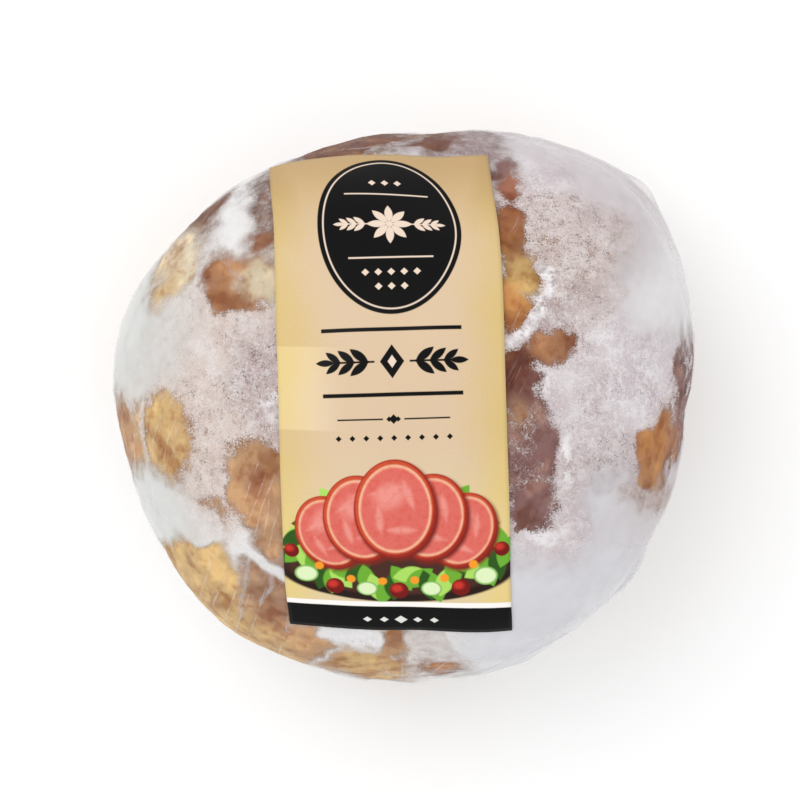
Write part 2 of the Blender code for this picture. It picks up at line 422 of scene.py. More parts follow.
class PackForm:
    """The pack's outer form on a fine grid, and what lies where on it.

    A facing is 1 where the skin faces the camera, 0 at the outline and below 0 underneath.
    """

    MIDDLE = Vector((0.0, 0.0, 47 * MM))
    JOIN_GAP = 1e-6
    SMOOTHING_ROUNDS = 6
    CORNER_ROUNDS = 160
    LEAST_HEIGHT = 0.02 * MM
    RIM_SWELL = 0.28 * MM
    RIM_FACINGS = (0.6, 0.2)
    FILM_CORNER = (650, 180)
    CORNER_REACH = 30
    CORNER_SWELL = 1.3 * MM
    CORNER_FACINGS = (-0.9, -0.2)
    UPRIGHT = (1, 1, 0.22)
    RIDGE_SHARPNESS = 2.6
    FINE_RIDGES = 0.35
    SIDE_SLOPES = (0.8, 0.35)
    CROWN_WRINKLES = 0.16
    CALM_RANGE = (-0.35, 0.15)
    CALM_WRINKLES = 0.35

    def __init__(self, node: bpy.types.Object, camera: Overhead, cuts: int) -> None:
        """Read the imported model's skin along every direction of the grid.

        Args:
            node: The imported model's solid.
            camera: The camera that the picture's places refer to.
            cuts: Cuts along each edge of the cube that the grid starts from.
        """
        form = bmesh.new()
        bmesh.ops.create_cube(form, size=2)
        bmesh.ops.subdivide_edges(form, edges=form.edges, cuts=cuts, use_grid_fill=True)
        self.grid = bpy.data.meshes.new("pack grid")
        form.to_mesh(self.grid)
        form.clear()
        form.from_mesh(node.data)
        bmesh.ops.remove_doubles(form, verts=form.verts, dist=self.JOIN_GAP)
        skin = BVHTree.FromBMesh(form)
        form.free()
        count = len(self.grid.vertices)
        cube = np.empty(count * 3)
        self.grid.vertices.foreach_get("co", cube)
        even = np.tan(cube.reshape(-1, 3) * math.pi / 4)
        self.ways = even / np.linalg.norm(even, axis=1)[:, None]
        ends = np.empty(len(self.grid.edges) * 2, dtype=np.int64)
        self.grid.edges.foreach_get("vertices", ends)
        self.ends = ends.reshape(-1, 2)
        self.degree = np.bincount(self.ends.ravel(), minlength=count)
        found = [skin.ray_cast(self.MIDDLE, Vector(way))[3] for way in self.ways]
        self.reach = self.soften(np.array(found), self.SMOOTHING_ROUNDS)
        self.round_reach = self.soften(self.reach, self.CORNER_ROUNDS)
        self.look(camera)
        self.swell_outline()
        self.wrinkles = self.find_wrinkles(self.look(camera))

    def look(self, camera: Overhead) -> np.ndarray:
        """Work out where each point of the skin shows in the picture, and how it faces the camera.

        Args:
            camera: The camera that the picture's places refer to.

        Returns:
            The outward normal at each point.
        """
        self.points = self.placed(np.zeros(len(self.ways)))
        self.seen = camera.seen(self.points)
        sight = np.array((camera.across, camera.along, camera.height)) - self.points
        sight /= np.linalg.norm(sight, axis=1)[:, None]
        normals = self.normals(self.points)
        self.facing = np.sum(normals * sight, axis=1)
        return normals

    def swell_outline(self) -> None:
        """Make up at the outline and the film's corner for what the smoothing took off."""
        gap = np.linalg.norm(self.seen - np.array(self.FILM_CORNER), axis=1)
        self.reach += self.RIM_SWELL * eased(np.abs(self.facing), *self.RIM_FACINGS)
        drawn = np.clip(1 - gap / self.CORNER_REACH, 0, 1) * eased(self.facing, *self.CORNER_FACINGS)
        self.reach += self.CORNER_SWELL * drawn

    def find_wrinkles(self, normals: np.ndarray) -> np.ndarray:
        """How deep the shrunk film is drawn in between its upright wrinkles, from 0 to 1.

        Args:
            normals: The outward normal at each point.

        Returns:
            A depth for each point, which is greatest on the sides and least on the crown.
        """
        upright = self.points * np.array(self.UPRIGHT)
        ridge = 1 - np.abs(rumple(upright, Swell.WRINKLE)) * self.RIDGE_SHARPNESS
        fine = 1 - np.abs(rumple(upright, Swell.FINE_WRINKLE)) * self.RIDGE_SHARPNESS
        ridges = (1 - self.FINE_RIDGES) * np.clip(ridge, 0, 1) ** 3
        ridges += self.FINE_RIDGES * np.clip(fine, 0, 1) ** 3
        side = eased(normals[:, 2], *self.SIDE_SLOPES)
        side = self.CROWN_WRINKLES + (1 - self.CROWN_WRINKLES) * side
        calm = eased(rumple(self.points, Swell.CALM), *self.CALM_RANGE)
        return (1 - ridges) * side * (self.CALM_WRINKLES + (1 - self.CALM_WRINKLES) * calm)

    def soften(self, values: np.ndarray, rounds: int) -> np.ndarray:
        """Even out values over the grid.

        Args:
            values: One value for each point of the grid.
            rounds: How many times each is drawn halfway to its neighbours' mean.

        Returns:
            The evened values.
        """
        first, second = self.ends.T
        for _ in range(rounds):
            total = np.bincount(first, values[second], len(values))
            total += np.bincount(second, values[first], len(values))
            values = (values + total / self.degree) / 2
        return values

    def placed(self, depth: np.ndarray) -> np.ndarray:
        """Points that lie a depth under the skin, and never below the floor.

        Args:
            depth: How far each point lies in from the skin.

        Returns:
            One row for each point.
        """
        points = self.ways * (self.reach - depth)[:, None] + np.array(self.MIDDLE)
        floor = np.clip(depth, self.LEAST_HEIGHT, None)
        points[:, 2] = np.maximum(points[:, 2], floor)
        return points

    def normals(self, points: np.ndarray) -> np.ndarray:
        """Find which way the skin faces.

        Args:
            points: Where the points of the grid lie.

        Returns:
            The outward unit normal at each of them.
        """
        mesh = self.grid.copy()
        mesh.vertices.foreach_set("co", points.ravel())
        mesh.update()
        found = np.empty(len(points) * 3)
        mesh.vertices.foreach_get("normal", found)
        bpy.data.meshes.remove(mesh)
        return found.reshape(-1, 3)

    def layer(self, name: str, depth: np.ndarray, fields: dict[str, np.ndarray]) -> bpy.types.Object:
        """Make one closed layer of the pack.

        Args:
            name: The piece's name.
            depth: How far each of its points lies in from the skin.
            fields: Values or linear colours that its finish reads, by name.

        Returns:
            The piece, linked to the scene.
        """
        mesh = self.grid.copy()
        mesh.name = name
        mesh.vertices.foreach_set("co", self.placed(depth).ravel())
        for key, values in fields.items():
            if values.ndim == 1:
                attribute = mesh.attributes.new(key, "FLOAT", "POINT")
                attribute.data.foreach_set("value", values.astype(np.float32))
            else:
                colours = np.column_stack([values, np.ones(len(values))]).astype(np.float32)
                attribute = mesh.attributes.new(key, "FLOAT_COLOR", "POINT")
                attribute.data.foreach_set("color", colours.ravel())
        mesh.update()
        mesh.shade_smooth()
        piece = bpy.data.objects.new(name, mesh)
        bpy.context.scene.collection.objects.link(piece)
        return piece


class FrostMap:
    """Where the pack is bare and where it is frosted, as fields over the pack's grid.

    Wander, ripple, fades and sizes are in pixels of the picture.
    """

    WANDER = 11
    RIPPLE = 6
    LOWEST_FACING = -0.3
    LIMIT_SWING = 0.25
    LIMIT_FADE = (-0.15, 0.1)
    DETAIL_SHARE = 0.45
    STROKE_WANDER = 0.45
    STROKE_FADE = 4.0
    STROKE_REST = 0.6
    HIDDEN_LEVEL = 0.16
    HIDDEN_SHARPNESS = 4
    MEAT_FADE = 5
    MEAT_PULL = (-30, 1.8)
    SMALL_SIZE = 30
    VEIL_PULL = 1.2
    FAINT_MEAT = 1e-6
    FAINT_FROST = 1e-7
    LEAST_WEIGHT = 1e-9
    GOLD_RANGE = (-0.25, 0.3)
    FAT_RANGE = (0.22, 0.34)
    CLUMP_FADE = (-2, 5)
    ROSE_RANGE = (-0.3, 0.35)

    def __init__(self, form: PackForm) -> None:
        """Work out every field.

        Args:
            form: The pack's form.
        """
        self.form = form
        wander = self.drift(Swell.WANDER_RIGHT, Swell.WANDER_DOWN)
        ripple = self.drift(Swell.RIPPLE_RIGHT, Swell.RIPPLE_DOWN)
        self.seen = form.seen + self.WANDER * wander + self.RIPPLE * ripple
        lowest = self.LIMIT_SWING * rumple(form.points, Swell.LOWER_LIMIT) + self.LOWEST_FACING
        start, end = self.LIMIT_FADE
        self.shown = eased(form.facing, lowest + start, lowest + end)
        self.bareness = self.find_bareness()
        self.meat = self.find_meat()
        self.clumps = self.find_clumps()
        self.tint, self.grain, self.fog = self.find_frost()

    def drift(self, rightward: Swell, downward: Swell) -> np.ndarray:
        """How two noises move each place right and down."""
        points = self.form.points
        return np.stack([rumple(points, rightward), rumple(points, downward)], axis=1)

    def mixed(self, crown: np.ndarray, hidden: np.ndarray) -> np.ndarray:
        """Blend what the picture shows into what it doesn't, round the outline."""
        share = self.shown if crown.ndim == 1 else self.shown[:, None]
        return share * crown + (1 - share) * hidden

    def find_bareness(self) -> np.ndarray:
        """From -1 under thick frost to 1 where the film lies on bare meat."""
        crown = np.full(len(self.seen), -1.0)
        for window in WINDOWS.values():
            depth = np.clip(window.oval.inside(self.seen) / window.fade, -1, window.clearness)
            crown = np.maximum(crown, depth)
        straighter = self.STROKE_WANDER * self.seen + (1 - self.STROKE_WANDER) * self.form.seen
        for stroke in STROKES.values():
            cover = np.clip(stroke.inside(straighter) / self.STROKE_FADE, -1, 1) * stroke.strength
            rest = (1 - stroke.strength) * self.STROKE_REST
            crown = np.minimum(crown, np.where(cover > -1, -cover + rest, 1))
        patches = rumple(self.form.points, Swell.HIDDEN_PATCH)
        patches += self.DETAIL_SHARE * rumple(self.form.points, Swell.HIDDEN_DETAIL)
        hidden = np.clip((patches - self.HIDDEN_LEVEL) * self.HIDDEN_SHARPNESS, -1, 1)
        return self.mixed(crown, hidden)

    def find_meat(self) -> np.ndarray:
        """The colour of the meat, blended between the windows' own."""
        total = np.zeros((len(self.seen), 3))
        weight = np.zeros(len(self.seen))
        for window in WINDOWS.values():
            oval = window.oval
            near = np.exp(np.clip(oval.inside(self.seen) / self.MEAT_FADE, *self.MEAT_PULL))
            near *= self.SMALL_SIZE / (oval.half_width + oval.half_height)
            near *= self.VEIL_PULL + window.clearness
            total += near[:, None] * window.meat.tone()
            weight += near
        total += self.FAINT_MEAT * Meat.TAN.tone()
        crown = total / (weight + self.FAINT_MEAT)[:, None]
        golden = eased(rumple(self.form.points, Swell.HIDDEN_GOLD), *self.GOLD_RANGE)[:, None]
        fatty = eased(rumple(self.form.points, Swell.HIDDEN_FAT), *self.FAT_RANGE)[:, None]
        hidden = golden * Meat.GOLD.tone() + (1 - golden) * Meat.BROWN.tone()
        hidden = fatty * Meat.FAT.tone() + (1 - fatty) * hidden
        return self.mixed(crown, hidden)

    def find_clumps(self) -> np.ndarray:
        """From 0 to 1 where loose frost has clumped."""
        crown = np.zeros(len(self.seen))
        for oval in CLUMPS.values():
            crown = np.maximum(crown, eased(oval.inside(self.seen), *self.CLUMP_FADE))
        return crown * self.shown

    def find_frost(self) -> tuple[np.ndarray, np.ndarray, np.ndarray]:
        """Blend the frost between the spots of each kind.

        Returns:
            Its linear colour, its graininess and how fogged the film is, for each point.
        """
        total = np.zeros((len(self.seen), 5))
        weight = np.full(len(self.seen), self.LEAST_WEIGHT)
        for spot in FROST_SPOTS.values():
            gap = np.hypot(self.seen[:, 0] - spot.x, self.seen[:, 1] - spot.y) / spot.spread
            near = np.exp(-gap * gap)
            total += near[:, None] * spot.kind.tone()
            weight += near
        total += self.FAINT_FROST * Frost.SNOW.tone()
        crown = total / (weight + self.FAINT_FROST)[:, None]
        rosy = eased(rumple(self.form.points, Swell.HIDDEN_FROST), *self.ROSE_RANGE)[:, None]
        frost = self.mixed(crown, rosy * Frost.ROSE.tone() + (1 - rosy) * Frost.FOG.tone())
        return frost[:, :3], frost[:, 3], frost[:, 4]


class Rise(NamedTuple):
    """A smooth rise from start to end, while a value goes from low to high."""

    low: float
    high: float
    start: float = 0.0
    end: float = 1.0


class Clouds(NamedTuple):
    """Cloudy noise: its swells to a unit of the place, its steps of finer detail, their roughness."""

    scale: float
    detail: float = 2.0
    roughness: float = 0.5


class Wiring:
    """Adds nodes to one tree and joins them, and hands on what each puts out.

    Wherever a node takes something, it may be another node's socket or a plain value.
    """

    def __init__(self, tree: bpy.types.NodeTree) -> None:
        """Start on a tree.

        Args:
            tree: A shader's or a node group's tree.
        """
        self.tree = tree

    def fill(self, node: bpy.types.Node, inputs: dict) -> None:
        """Feed a node's sockets.

        Args:
            node: The node.
            inputs: What each socket takes, by the socket's name or number.
        """
        for key, value in inputs.items():
            if isinstance(value, Socket):
                self.tree.links.new(value, node.inputs[key])
            else:
                node.inputs[key].default_value = value

    def add(self, kind: str, inputs: dict | None = None, **settings: object) -> bpy.types.Node:
        """Add a node.

        Args:
            kind: Blender's name for the node.
            inputs: What each socket takes, by the socket's name or number.
            settings: Its own settings.

        Returns:
            The node.
        """
        node = self.tree.nodes.new(kind)
        for key, value in settings.items():
            setattr(node, key, value)
        self.fill(node, inputs or {})
        return node

    def maths(self, operation: str, first: object, second: object = 0.0) -> Socket:
        """One sum on one or two values."""
        return self.add("ShaderNodeMath", {0: first, 1: second}, operation=operation).outputs[0]

    def product(self, first: object, second: object) -> Socket:
        """Two values multiplied."""
        return self.maths("MULTIPLY", first, second)

    def total(self, first: object, second: object) -> Socket:
        """Two values added."""
        return self.maths("ADD", first, second)

    def vector(self, operation: str, first: object, second: object = (0.0, 0.0, 0.0)) -> Socket:
        """One sum on one or two vectors, as a value where the sum makes one."""
        node = self.add("ShaderNodeVectorMath", {0: first, 1: second}, operation=operation)
        return node.outputs["Value" if operation == "DOT_PRODUCT" else "Vector"]

    def eased(
        self, value: Socket, low: object, high: object, start: float = 0.0, end: float = 1.0
    ) -> Socket:
        """Rise smoothly from start to end while a value goes from low to high."""
        inputs = {"Value": value, "From Min": low, "From Max": high, "To Min": start, "To Max": end}
        return self.add("ShaderNodeMapRange", inputs, interpolation_type="SMOOTHSTEP").outputs[0]

    def blend(self, share: object, under: object, over: object, mode: str = "MIX") -> Socket:
        """Lay one colour over another.

        Args:
            share: How much of the upper one shows.
            under: The lower colour.
            over: The upper colour.
            mode: How the two mix.

        Returns:
            The mixed colour.
        """
        inputs = {0: share, 6: under, 7: over}
        settings = {"data_type": "RGBA", "blend_type": mode, "clamp_factor": True}
        return self.add("ShaderNodeMix", inputs, **settings).outputs[2]

    def times(self, colour: object, factors: Triple) -> Socket:
        """Multiply each channel of a colour by its own factor."""
        return self.blend(1.0, colour, (*factors, 1.0), "MULTIPLY")

    def clouds(self, place: Socket, scale: object, detail: float = 2.0, roughness: float = 0.5) -> Socket:
        """Cloudy noise from 0 to 1 at a scale in swells to a unit of the place."""
        inputs = {"Vector": place, "Scale": scale, "Detail": detail, "Roughness": roughness}
        return self.add("ShaderNodeTexNoise", inputs).outputs["Fac"]

    def field(self, name: str, colour: bool = False) -> Socket:
        """A field that the mesh carries, as a value or a colour."""
        node = self.add("ShaderNodeAttribute", attribute_name=name)
        return node.outputs["Color" if colour else "Fac"]

    def place(self) -> Socket:
        """The place on the object."""
        return self.add("ShaderNodeTexCoord").outputs["Object"]

    def stretched(self, place: Socket, swell: Triple, turn: float) -> Socket:
        """The place in swells, so that a noise on it runs in streaks.

        Args:
            place: The place.
            swell: How far one swell goes along each turned axis.
            turn: How far the axes are turned about the vertical, in degrees.

        Returns:
            The stretched place.
        """
        inputs = {"Vector": place, "Scale": swell, "Rotation": (0.0, 0.0, math.radians(turn))}
        return self.add("ShaderNodeMapping", inputs, vector_type="TEXTURE").outputs[0]

    def group(self, tree: bpy.types.NodeTree, inputs: dict) -> bpy.types.Node:
        """Place a node group."""
        return self.add("ShaderNodeGroup", inputs, node_tree=tree)

    def bump(self, strength: float, distance: float, height: Socket) -> Socket:
        """A normal that leans as a height does."""
        inputs = {"Strength": strength, "Distance": distance, "Height": height}
        return self.add("ShaderNodeBump", inputs).outputs[0]


class Shape(Enum):
    """The shapes of printed marks."""

    OVAL = "oval"
    BAR = "bar"
    LOZENGE = "lozenge"
    LEAF = "leaf"


class SharedEffects:
    """The shader node groups, each built once and placed by the finishes."""

    RANDOM_SHADE = 0.55
    DUST_SHADE = 0.45
    DUST_HEIGHT = 0.3
    DUST_FINENESS = 2.3
    COARSE_TEARS = Clouds(420.0, 3.0, 0.6)
    FINE_TEARS = Clouds(2300.0, 2.0, 0.6)
    STREAKS = Clouds(1.0, 3.0, 0.62)

    def __init__(self) -> None:
        """Build every group once."""
        self.grains = self.build_grains()
        self.ragged = self.build_ragged()
        self.streaks = self.build_streaks()
        self.marks = {shape: self.build_mark(shape) for shape in Shape}

    def start(self, name: str, inputs: dict[str, object], outputs: tuple[str, ...]) -> tuple:
        """Start a group that puts out values.

        Args:
            name: The group's name.
            inputs: Its inputs: a number's default, or None for a vector.
            outputs: Its outputs.

        Returns:
            The tree, its wiring, its inputs by name, and the node that takes its outputs.
        """
        tree = bpy.data.node_groups.new(name, "ShaderNodeTree")
        for key, value in inputs.items():
            kind = "NodeSocketVector" if value is None else "NodeSocketFloat"
            socket = tree.interface.new_socket(key, in_out="INPUT", socket_type=kind)
            if value is not None:
                socket.default_value = value
        for key in outputs:
            tree.interface.new_socket(key, in_out="OUTPUT", socket_type="NodeSocketFloat")
        wiring = Wiring(tree)
        source = wiring.add("NodeGroupInput")
        given = {key: source.outputs[key] for key in inputs}
        return tree, wiring, given, wiring.add("NodeGroupOutput")

    def build_grains(self) -> bpy.types.NodeTree:
        """Grains of frost: a random shade for each, and their rounded height."""
        inputs = {"Place": None, "Grains per metre": 1800.0, "Patch": 0.5}
        tree, wiring, given, out = self.start("frost grains", inputs, ("Shade", "Height"))
        spacing = {"Vector": given["Place"], "Scale": given["Grains per metre"]}
        cells = wiring.add("ShaderNodeTexVoronoi", spacing)
        fine = wiring.product(given["Grains per metre"], self.DUST_FINENESS)
        dust = wiring.clouds(given["Place"], fine, 2.0, 0.6)
        shade = wiring.add("ShaderNodeSeparateColor", {"Color": cells.outputs["Color"]}).outputs[0]
        random_part = wiring.product(shade, self.RANDOM_SHADE)
        mixed = wiring.total(random_part, wiring.product(dust, self.DUST_SHADE))
        dome = wiring.maths("SUBTRACT", 1.0, cells.outputs["Distance"])
        tall = wiring.product(dome, wiring.total(shade, given["Patch"]))
        height = wiring.total(tall, wiring.product(dust, self.DUST_HEIGHT))
        wiring.fill(out, {"Shade": mixed, "Height": height})
        return tree

    def build_ragged(self) -> bpy.types.NodeTree:
        """A ragged edge where a field crosses nought."""
        inputs = {"Place": None, "Field": 0.0, "Coarse": 0.35, "Fine": 0.3, "Softness": 0.15}
        tree, wiring, given, out = self.start("ragged edge", inputs, ("Mask",))
        field = given["Field"]
        for key, tears in (("Coarse", self.COARSE_TEARS), ("Fine", self.FINE_TEARS)):
            tear = wiring.maths("SUBTRACT", wiring.clouds(given["Place"], *tears), 0.5)
            field = wiring.total(field, wiring.product(tear, given[key]))
        low = wiring.product(given["Softness"], -1.0)
        wiring.fill(out, {"Mask": wiring.eased(field, low, given["Softness"])})
        return tree

    def build_streaks(self) -> bpy.types.NodeTree:
        """Streaks that run the long way of a stretched place."""
        inputs = {"Place": None, "Sharpness": 0.2}
        tree, wiring, given, out = self.start("streaks", inputs, ("Streaks",))
        wide = wiring.clouds(given["Place"], *self.STREAKS)
        low = wiring.maths("SUBTRACT", 0.5, given["Sharpness"])
        high = wiring.total(0.5, given["Sharpness"])
        wiring.fill(out, {"Streaks": wiring.eased(wide, low, high)})
        return tree

    def build_mark(self, shape: Shape) -> bpy.types.NodeTree:
        """A printed mark of one shape, in millimetres on the label.

        Args:
            shape: The mark's shape.

        Returns:
            The group's tree.
        """
        inputs = {"Place": None, "Middle": None, "Across": None, "Upward": None, "Band": 0.1, "Ratio": 1.0}
        tree, wiring, given, out = self.start(f"{shape.value} mark", inputs, ("Mask",))
        away = wiring.vector("SUBTRACT", given["Place"], given["Middle"])
        across = wiring.maths("ABSOLUTE", wiring.vector("DOT_PRODUCT", away, given["Across"]))
        upward = wiring.maths("ABSOLUTE", wiring.vector("DOT_PRODUCT", away, given["Upward"]))
        bow = wiring.product(across, across)
        if shape is Shape.OVAL:
            reach = wiring.maths("SQRT", wiring.total(bow, wiring.product(upward, upward)))
        elif shape is Shape.BAR:
            past_end = wiring.product(wiring.maths("SUBTRACT", across, 1.0), given["Ratio"])
            reach = wiring.maths("MAXIMUM", wiring.total(past_end, 1.0), upward)
        elif shape is Shape.LOZENGE:
            reach = wiring.total(across, upward)
        else:
            reach = wiring.total(bow, upward)
        high = wiring.total(1.0, given["Band"])
        low = wiring.maths("SUBTRACT", 1.0, given["Band"])
        wiring.fill(out, {"Mask": wiring.eased(reach, high, low)})
        return tree


class Finish:
    """A finish of the scene. Each kind names its material and joins its nodes."""

    name = "plain"

    def material(self) -> bpy.types.Material:
        """Build the material.

        Returns:
            The material.
        """
        material = bpy.data.materials.new(self.name)
        material.use_nodes = True
        self.join(Wiring(material.node_tree), material.node_tree.nodes["Principled BSDF"])
        return material

    def join(self, wiring: Wiring, shader: bpy.types.Node) -> None:
        """Join the material's nodes.

        Args:
            wiring: The wiring of the material's tree.
            shader: Its Principled shader.
        """
        raise NotImplementedError


class CoatedFinish(Finish):
    """A finish with relief and a glossy coat, whose kinds give the amounts of both."""

    def coated(self, wiring: Wiring, height: Socket) -> dict:
        """Work out what the shader takes for the relief and the coat.

        Args:
            wiring: The wiring of the material's tree.
            height: The relief's height.

        Returns:
            The inputs, by name.
        """
        return {
            "Specular IOR Level": self.sheen,
            "Normal": wiring.bump(self.bump_strength, self.bump_depth, height),
            "Coat Weight": self.gloss,
            "Coat Roughness": self.gloss_roughness,
        }


@dataclass(frozen=True)
class MeatFinish(CoatedFinish):
    """Cooked rind, lean and fat under clinging film."""

    name = "ham rind and fat"
    effects: SharedEffects
    roughness: Rise = Rise(0.3, 0.7, 0.42, 0.62)
    sheen: float = 0.0
    gloss: float = 0.24
    gloss_roughness: float = 0.2
    swells: Clouds = Clouds(130.0, 3.0, 0.5)
    mottle: Clouds = Clouds(330.0, 4.0, 0.55)
    browned: Rise = Rise(0.50, 0.34, 0.0, 0.85)
    browner: Triple = (0.62, 0.42, 0.28)
    creamed: Rise = Rise(0.52, 0.66, 0.0, 0.9)
    creamier: Triple = (1.32, 1.30, 1.22)
    cream: Colour = ink(226, 204, 160)
    cream_share: float = 0.07
    reddened: Rise = Rise(0.50, 0.68, 0.0, 0.7)
    redder: Triple = (0.74, 0.52, 0.42)
    fibre_swell: Triple = (1.6 * MM, 7 * MM, 4 * MM)
    fibre_turn: float = -14
    fibre_sharpness: float = 0.3
    fibre_share: float = 0.5
    fibre_height: float = 0.4
    paler: Triple = (1.26, 1.24, 1.2)
    pale: Colour = ink(232, 212, 178)
    pale_share: float = 0.04
    milk_swell: Triple = (0.5 * MM, 12 * MM, 6 * MM)
    milk_turn: float = -26
    milky: Rise = Rise(0.62, 0.76, 0.0, 0.16)
    milk: Colour = ink(224, 212, 198)
    bump_strength: float = 0.35
    bump_depth: float = 0.25 * MM

    def join(self, wiring: Wiring, shader: bpy.types.Node) -> None:
        """Join the material's nodes: swells and mottle of the rind, then its fibres and milky film."""
        place = wiring.place()
        tint = wiring.field("meat tint", colour=True)
        swells = wiring.clouds(place, *self.swells)
        mottle = wiring.clouds(place, *self.mottle)
        colour = wiring.blend(wiring.eased(swells, *self.browned), tint, wiring.times(tint, self.browner))
        creamy = wiring.blend(self.cream_share, wiring.times(tint, self.creamier), self.cream)
        colour = wiring.blend(wiring.eased(swells, *self.creamed), colour, creamy)
        colour = wiring.blend(wiring.eased(mottle, *self.reddened), colour, wiring.times(colour, self.redder))
        fibre_place = wiring.stretched(place, self.fibre_swell, self.fibre_turn)
        inputs = {"Place": fibre_place, "Sharpness": self.fibre_sharpness}
        fibres = wiring.group(self.effects.streaks, inputs).outputs[0]
        paler = wiring.blend(self.pale_share, wiring.times(colour, self.paler), self.pale)
        colour = wiring.blend(wiring.product(fibres, self.fibre_share), colour, paler)
        milk = wiring.clouds(wiring.stretched(place, self.milk_swell, self.milk_turn), 1.0)
        colour = wiring.blend(wiring.eased(milk, *self.milky), colour, self.milk)
        height = wiring.total(wiring.product(fibres, self.fibre_height), mottle)
        wiring.fill(shader, {
            "Base Color": colour,
            "Roughness": wiring.eased(mottle, *self.roughness),
            **self.coated(wiring, height),
        })


@dataclass(frozen=True)
class FrostFinish(CoatedFinish):
    """Frost between the meat and the film, grainy in places and smooth where it is fogged."""

    name = "frost"
    effects: SharedEffects
    roughness: float = 0.72
    sheen: float = 0.05
    gloss: float = 0.3
    gloss_roughness: float = 0.28
    grains_per_metre: float = 1700.0
    grain_patch: float = 0.4
    darker: Triple = (0.64, 0.58, 0.59)
    dark_shades: Rise = Rise(0.26, 0.54)
    light: Colour = ink(240, 238, 240)
    light_share: float = 0.5
    light_shades: Rise = Rise(0.54, 0.76)
    patches: Clouds = Clouds(190.0, 4.0, 0.62)
    patchy: Rise = Rise(0.36, 0.60, 0.15, 0.9)
    tufts: Clouds = Clouds(330.0, 5.0, 0.7)
    tufted: Rise = Rise(0.50, 0.66, 0.0, 0.7)
    tuft: Colour = ink(236, 234, 235)
    clumped: Rise = Rise(0.38, 0.56)
    clump: Colour = ink(242, 240, 242)
    drift: Clouds = Clouds(95.0, 6.0, 0.66)
    drifted: Rise = Rise(0.46, 0.66, 0.0, 0.6)
    snow: Colour = ink(234, 232, 233)
    shaded: Rise = Rise(0.48, 0.30, 0.0, 0.75)
    shaded_by_grain: Rise = Rise(0.0, 0.7, 0.25, 1.0)
    shadow: Triple = (0.72, 0.66, 0.67)
    thinned: Rise = Rise(-1.0, 0.1, 0.0, 0.55)
    frosted_meat: Colour = ink(218, 202, 196)
    frosted_share: float = 0.5
    coarse_tears: float = 1.6
    fine_tears: Rise = Rise(0.0, 1.0, 0.5, 2.0)
    softness: Rise = Rise(0.0, 0.8, 0.95, 0.4)
    least_height: float = 0.08
    bump_strength: float = 0.4
    bump_depth: float = 0.2 * MM

    def join(self, wiring: Wiring, shader: bpy.types.Node) -> None:
        """Join the material's nodes: its colour, its ragged openings and its relief."""
        place = wiring.place()
        grain = wiring.field("grain")
        bareness = wiring.field("bareness")
        inputs = {"Place": place, "Grains per metre": self.grains_per_metre, "Patch": self.grain_patch}
        grains = wiring.group(self.effects.grains, inputs)
        height = wiring.product(grains.outputs["Height"], wiring.total(grain, self.least_height))
        wiring.fill(shader, {
            "Base Color": self.colour(wiring, place, grain, bareness, grains.outputs["Shade"]),
            "Alpha": self.openings(wiring, place, grain, bareness),
            "Roughness": self.roughness,
            **self.coated(wiring, height),
        })

    def colour(
        self, wiring: Wiring, place: Socket, grain: Socket, bareness: Socket, shade: Socket
    ) -> Socket:
        """Speckle the frost's tint, lay tufts, clumps and drifts over it, and thin it by the windows.

        Args:
            wiring: The wiring of the material's tree.
            place: The place on the object.
            grain: How grainy the frost is.
            bareness: How near the place is to bare meat.
            shade: Each grain's random shade.

        Returns:
            The colour.
        """
        tint = wiring.field("frost tint", colour=True)
        speckled = wiring.blend(wiring.eased(shade, *self.dark_shades), wiring.times(tint, self.darker), tint)
        lit = wiring.blend(self.light_share, tint, self.light)
        speckled = wiring.blend(wiring.eased(shade, *self.light_shades), speckled, lit)
        patches = wiring.eased(wiring.clouds(place, *self.patches), *self.patchy)
        colour = wiring.blend(wiring.product(grain, patches), tint, speckled)
        tufts = wiring.clouds(place, *self.tufts)
        tuft_share = wiring.product(grain, wiring.eased(tufts, *self.tufted))
        colour = wiring.blend(tuft_share, colour, self.tuft)
        clump_share = wiring.product(wiring.field("clump"), wiring.eased(tufts, *self.clumped))
        colour = wiring.blend(clump_share, colour, self.clump)
        drift = wiring.clouds(place, *self.drift)
        colour = wiring.blend(wiring.eased(drift, *self.drifted), colour, self.snow)
        shaded = wiring.product(wiring.eased(drift, *self.shaded), wiring.eased(grain, *self.shaded_by_grain))
        colour = wiring.blend(shaded, colour, wiring.times(colour, self.shadow))
        meat = wiring.field("meat tint", colour=True)
        frosted = wiring.blend(self.frosted_share, meat, self.frosted_meat)
        return wiring.blend(wiring.eased(bareness, *self.thinned), colour, frosted)

    def openings(self, wiring: Wiring, place: Socket, grain: Socket, bareness: Socket) -> Socket:
        """Cut the frost out where the pack is bare, with a more broken edge where it is grainy."""
        inputs = {
            "Place": place,
            "Field": wiring.product(bareness, -1.0),
            "Coarse": self.coarse_tears,
            "Fine": wiring.eased(grain, *self.fine_tears),
            "Softness": wiring.eased(grain, *self.softness),
        }
        return wiring.group(self.effects.ragged, inputs).outputs["Mask"]


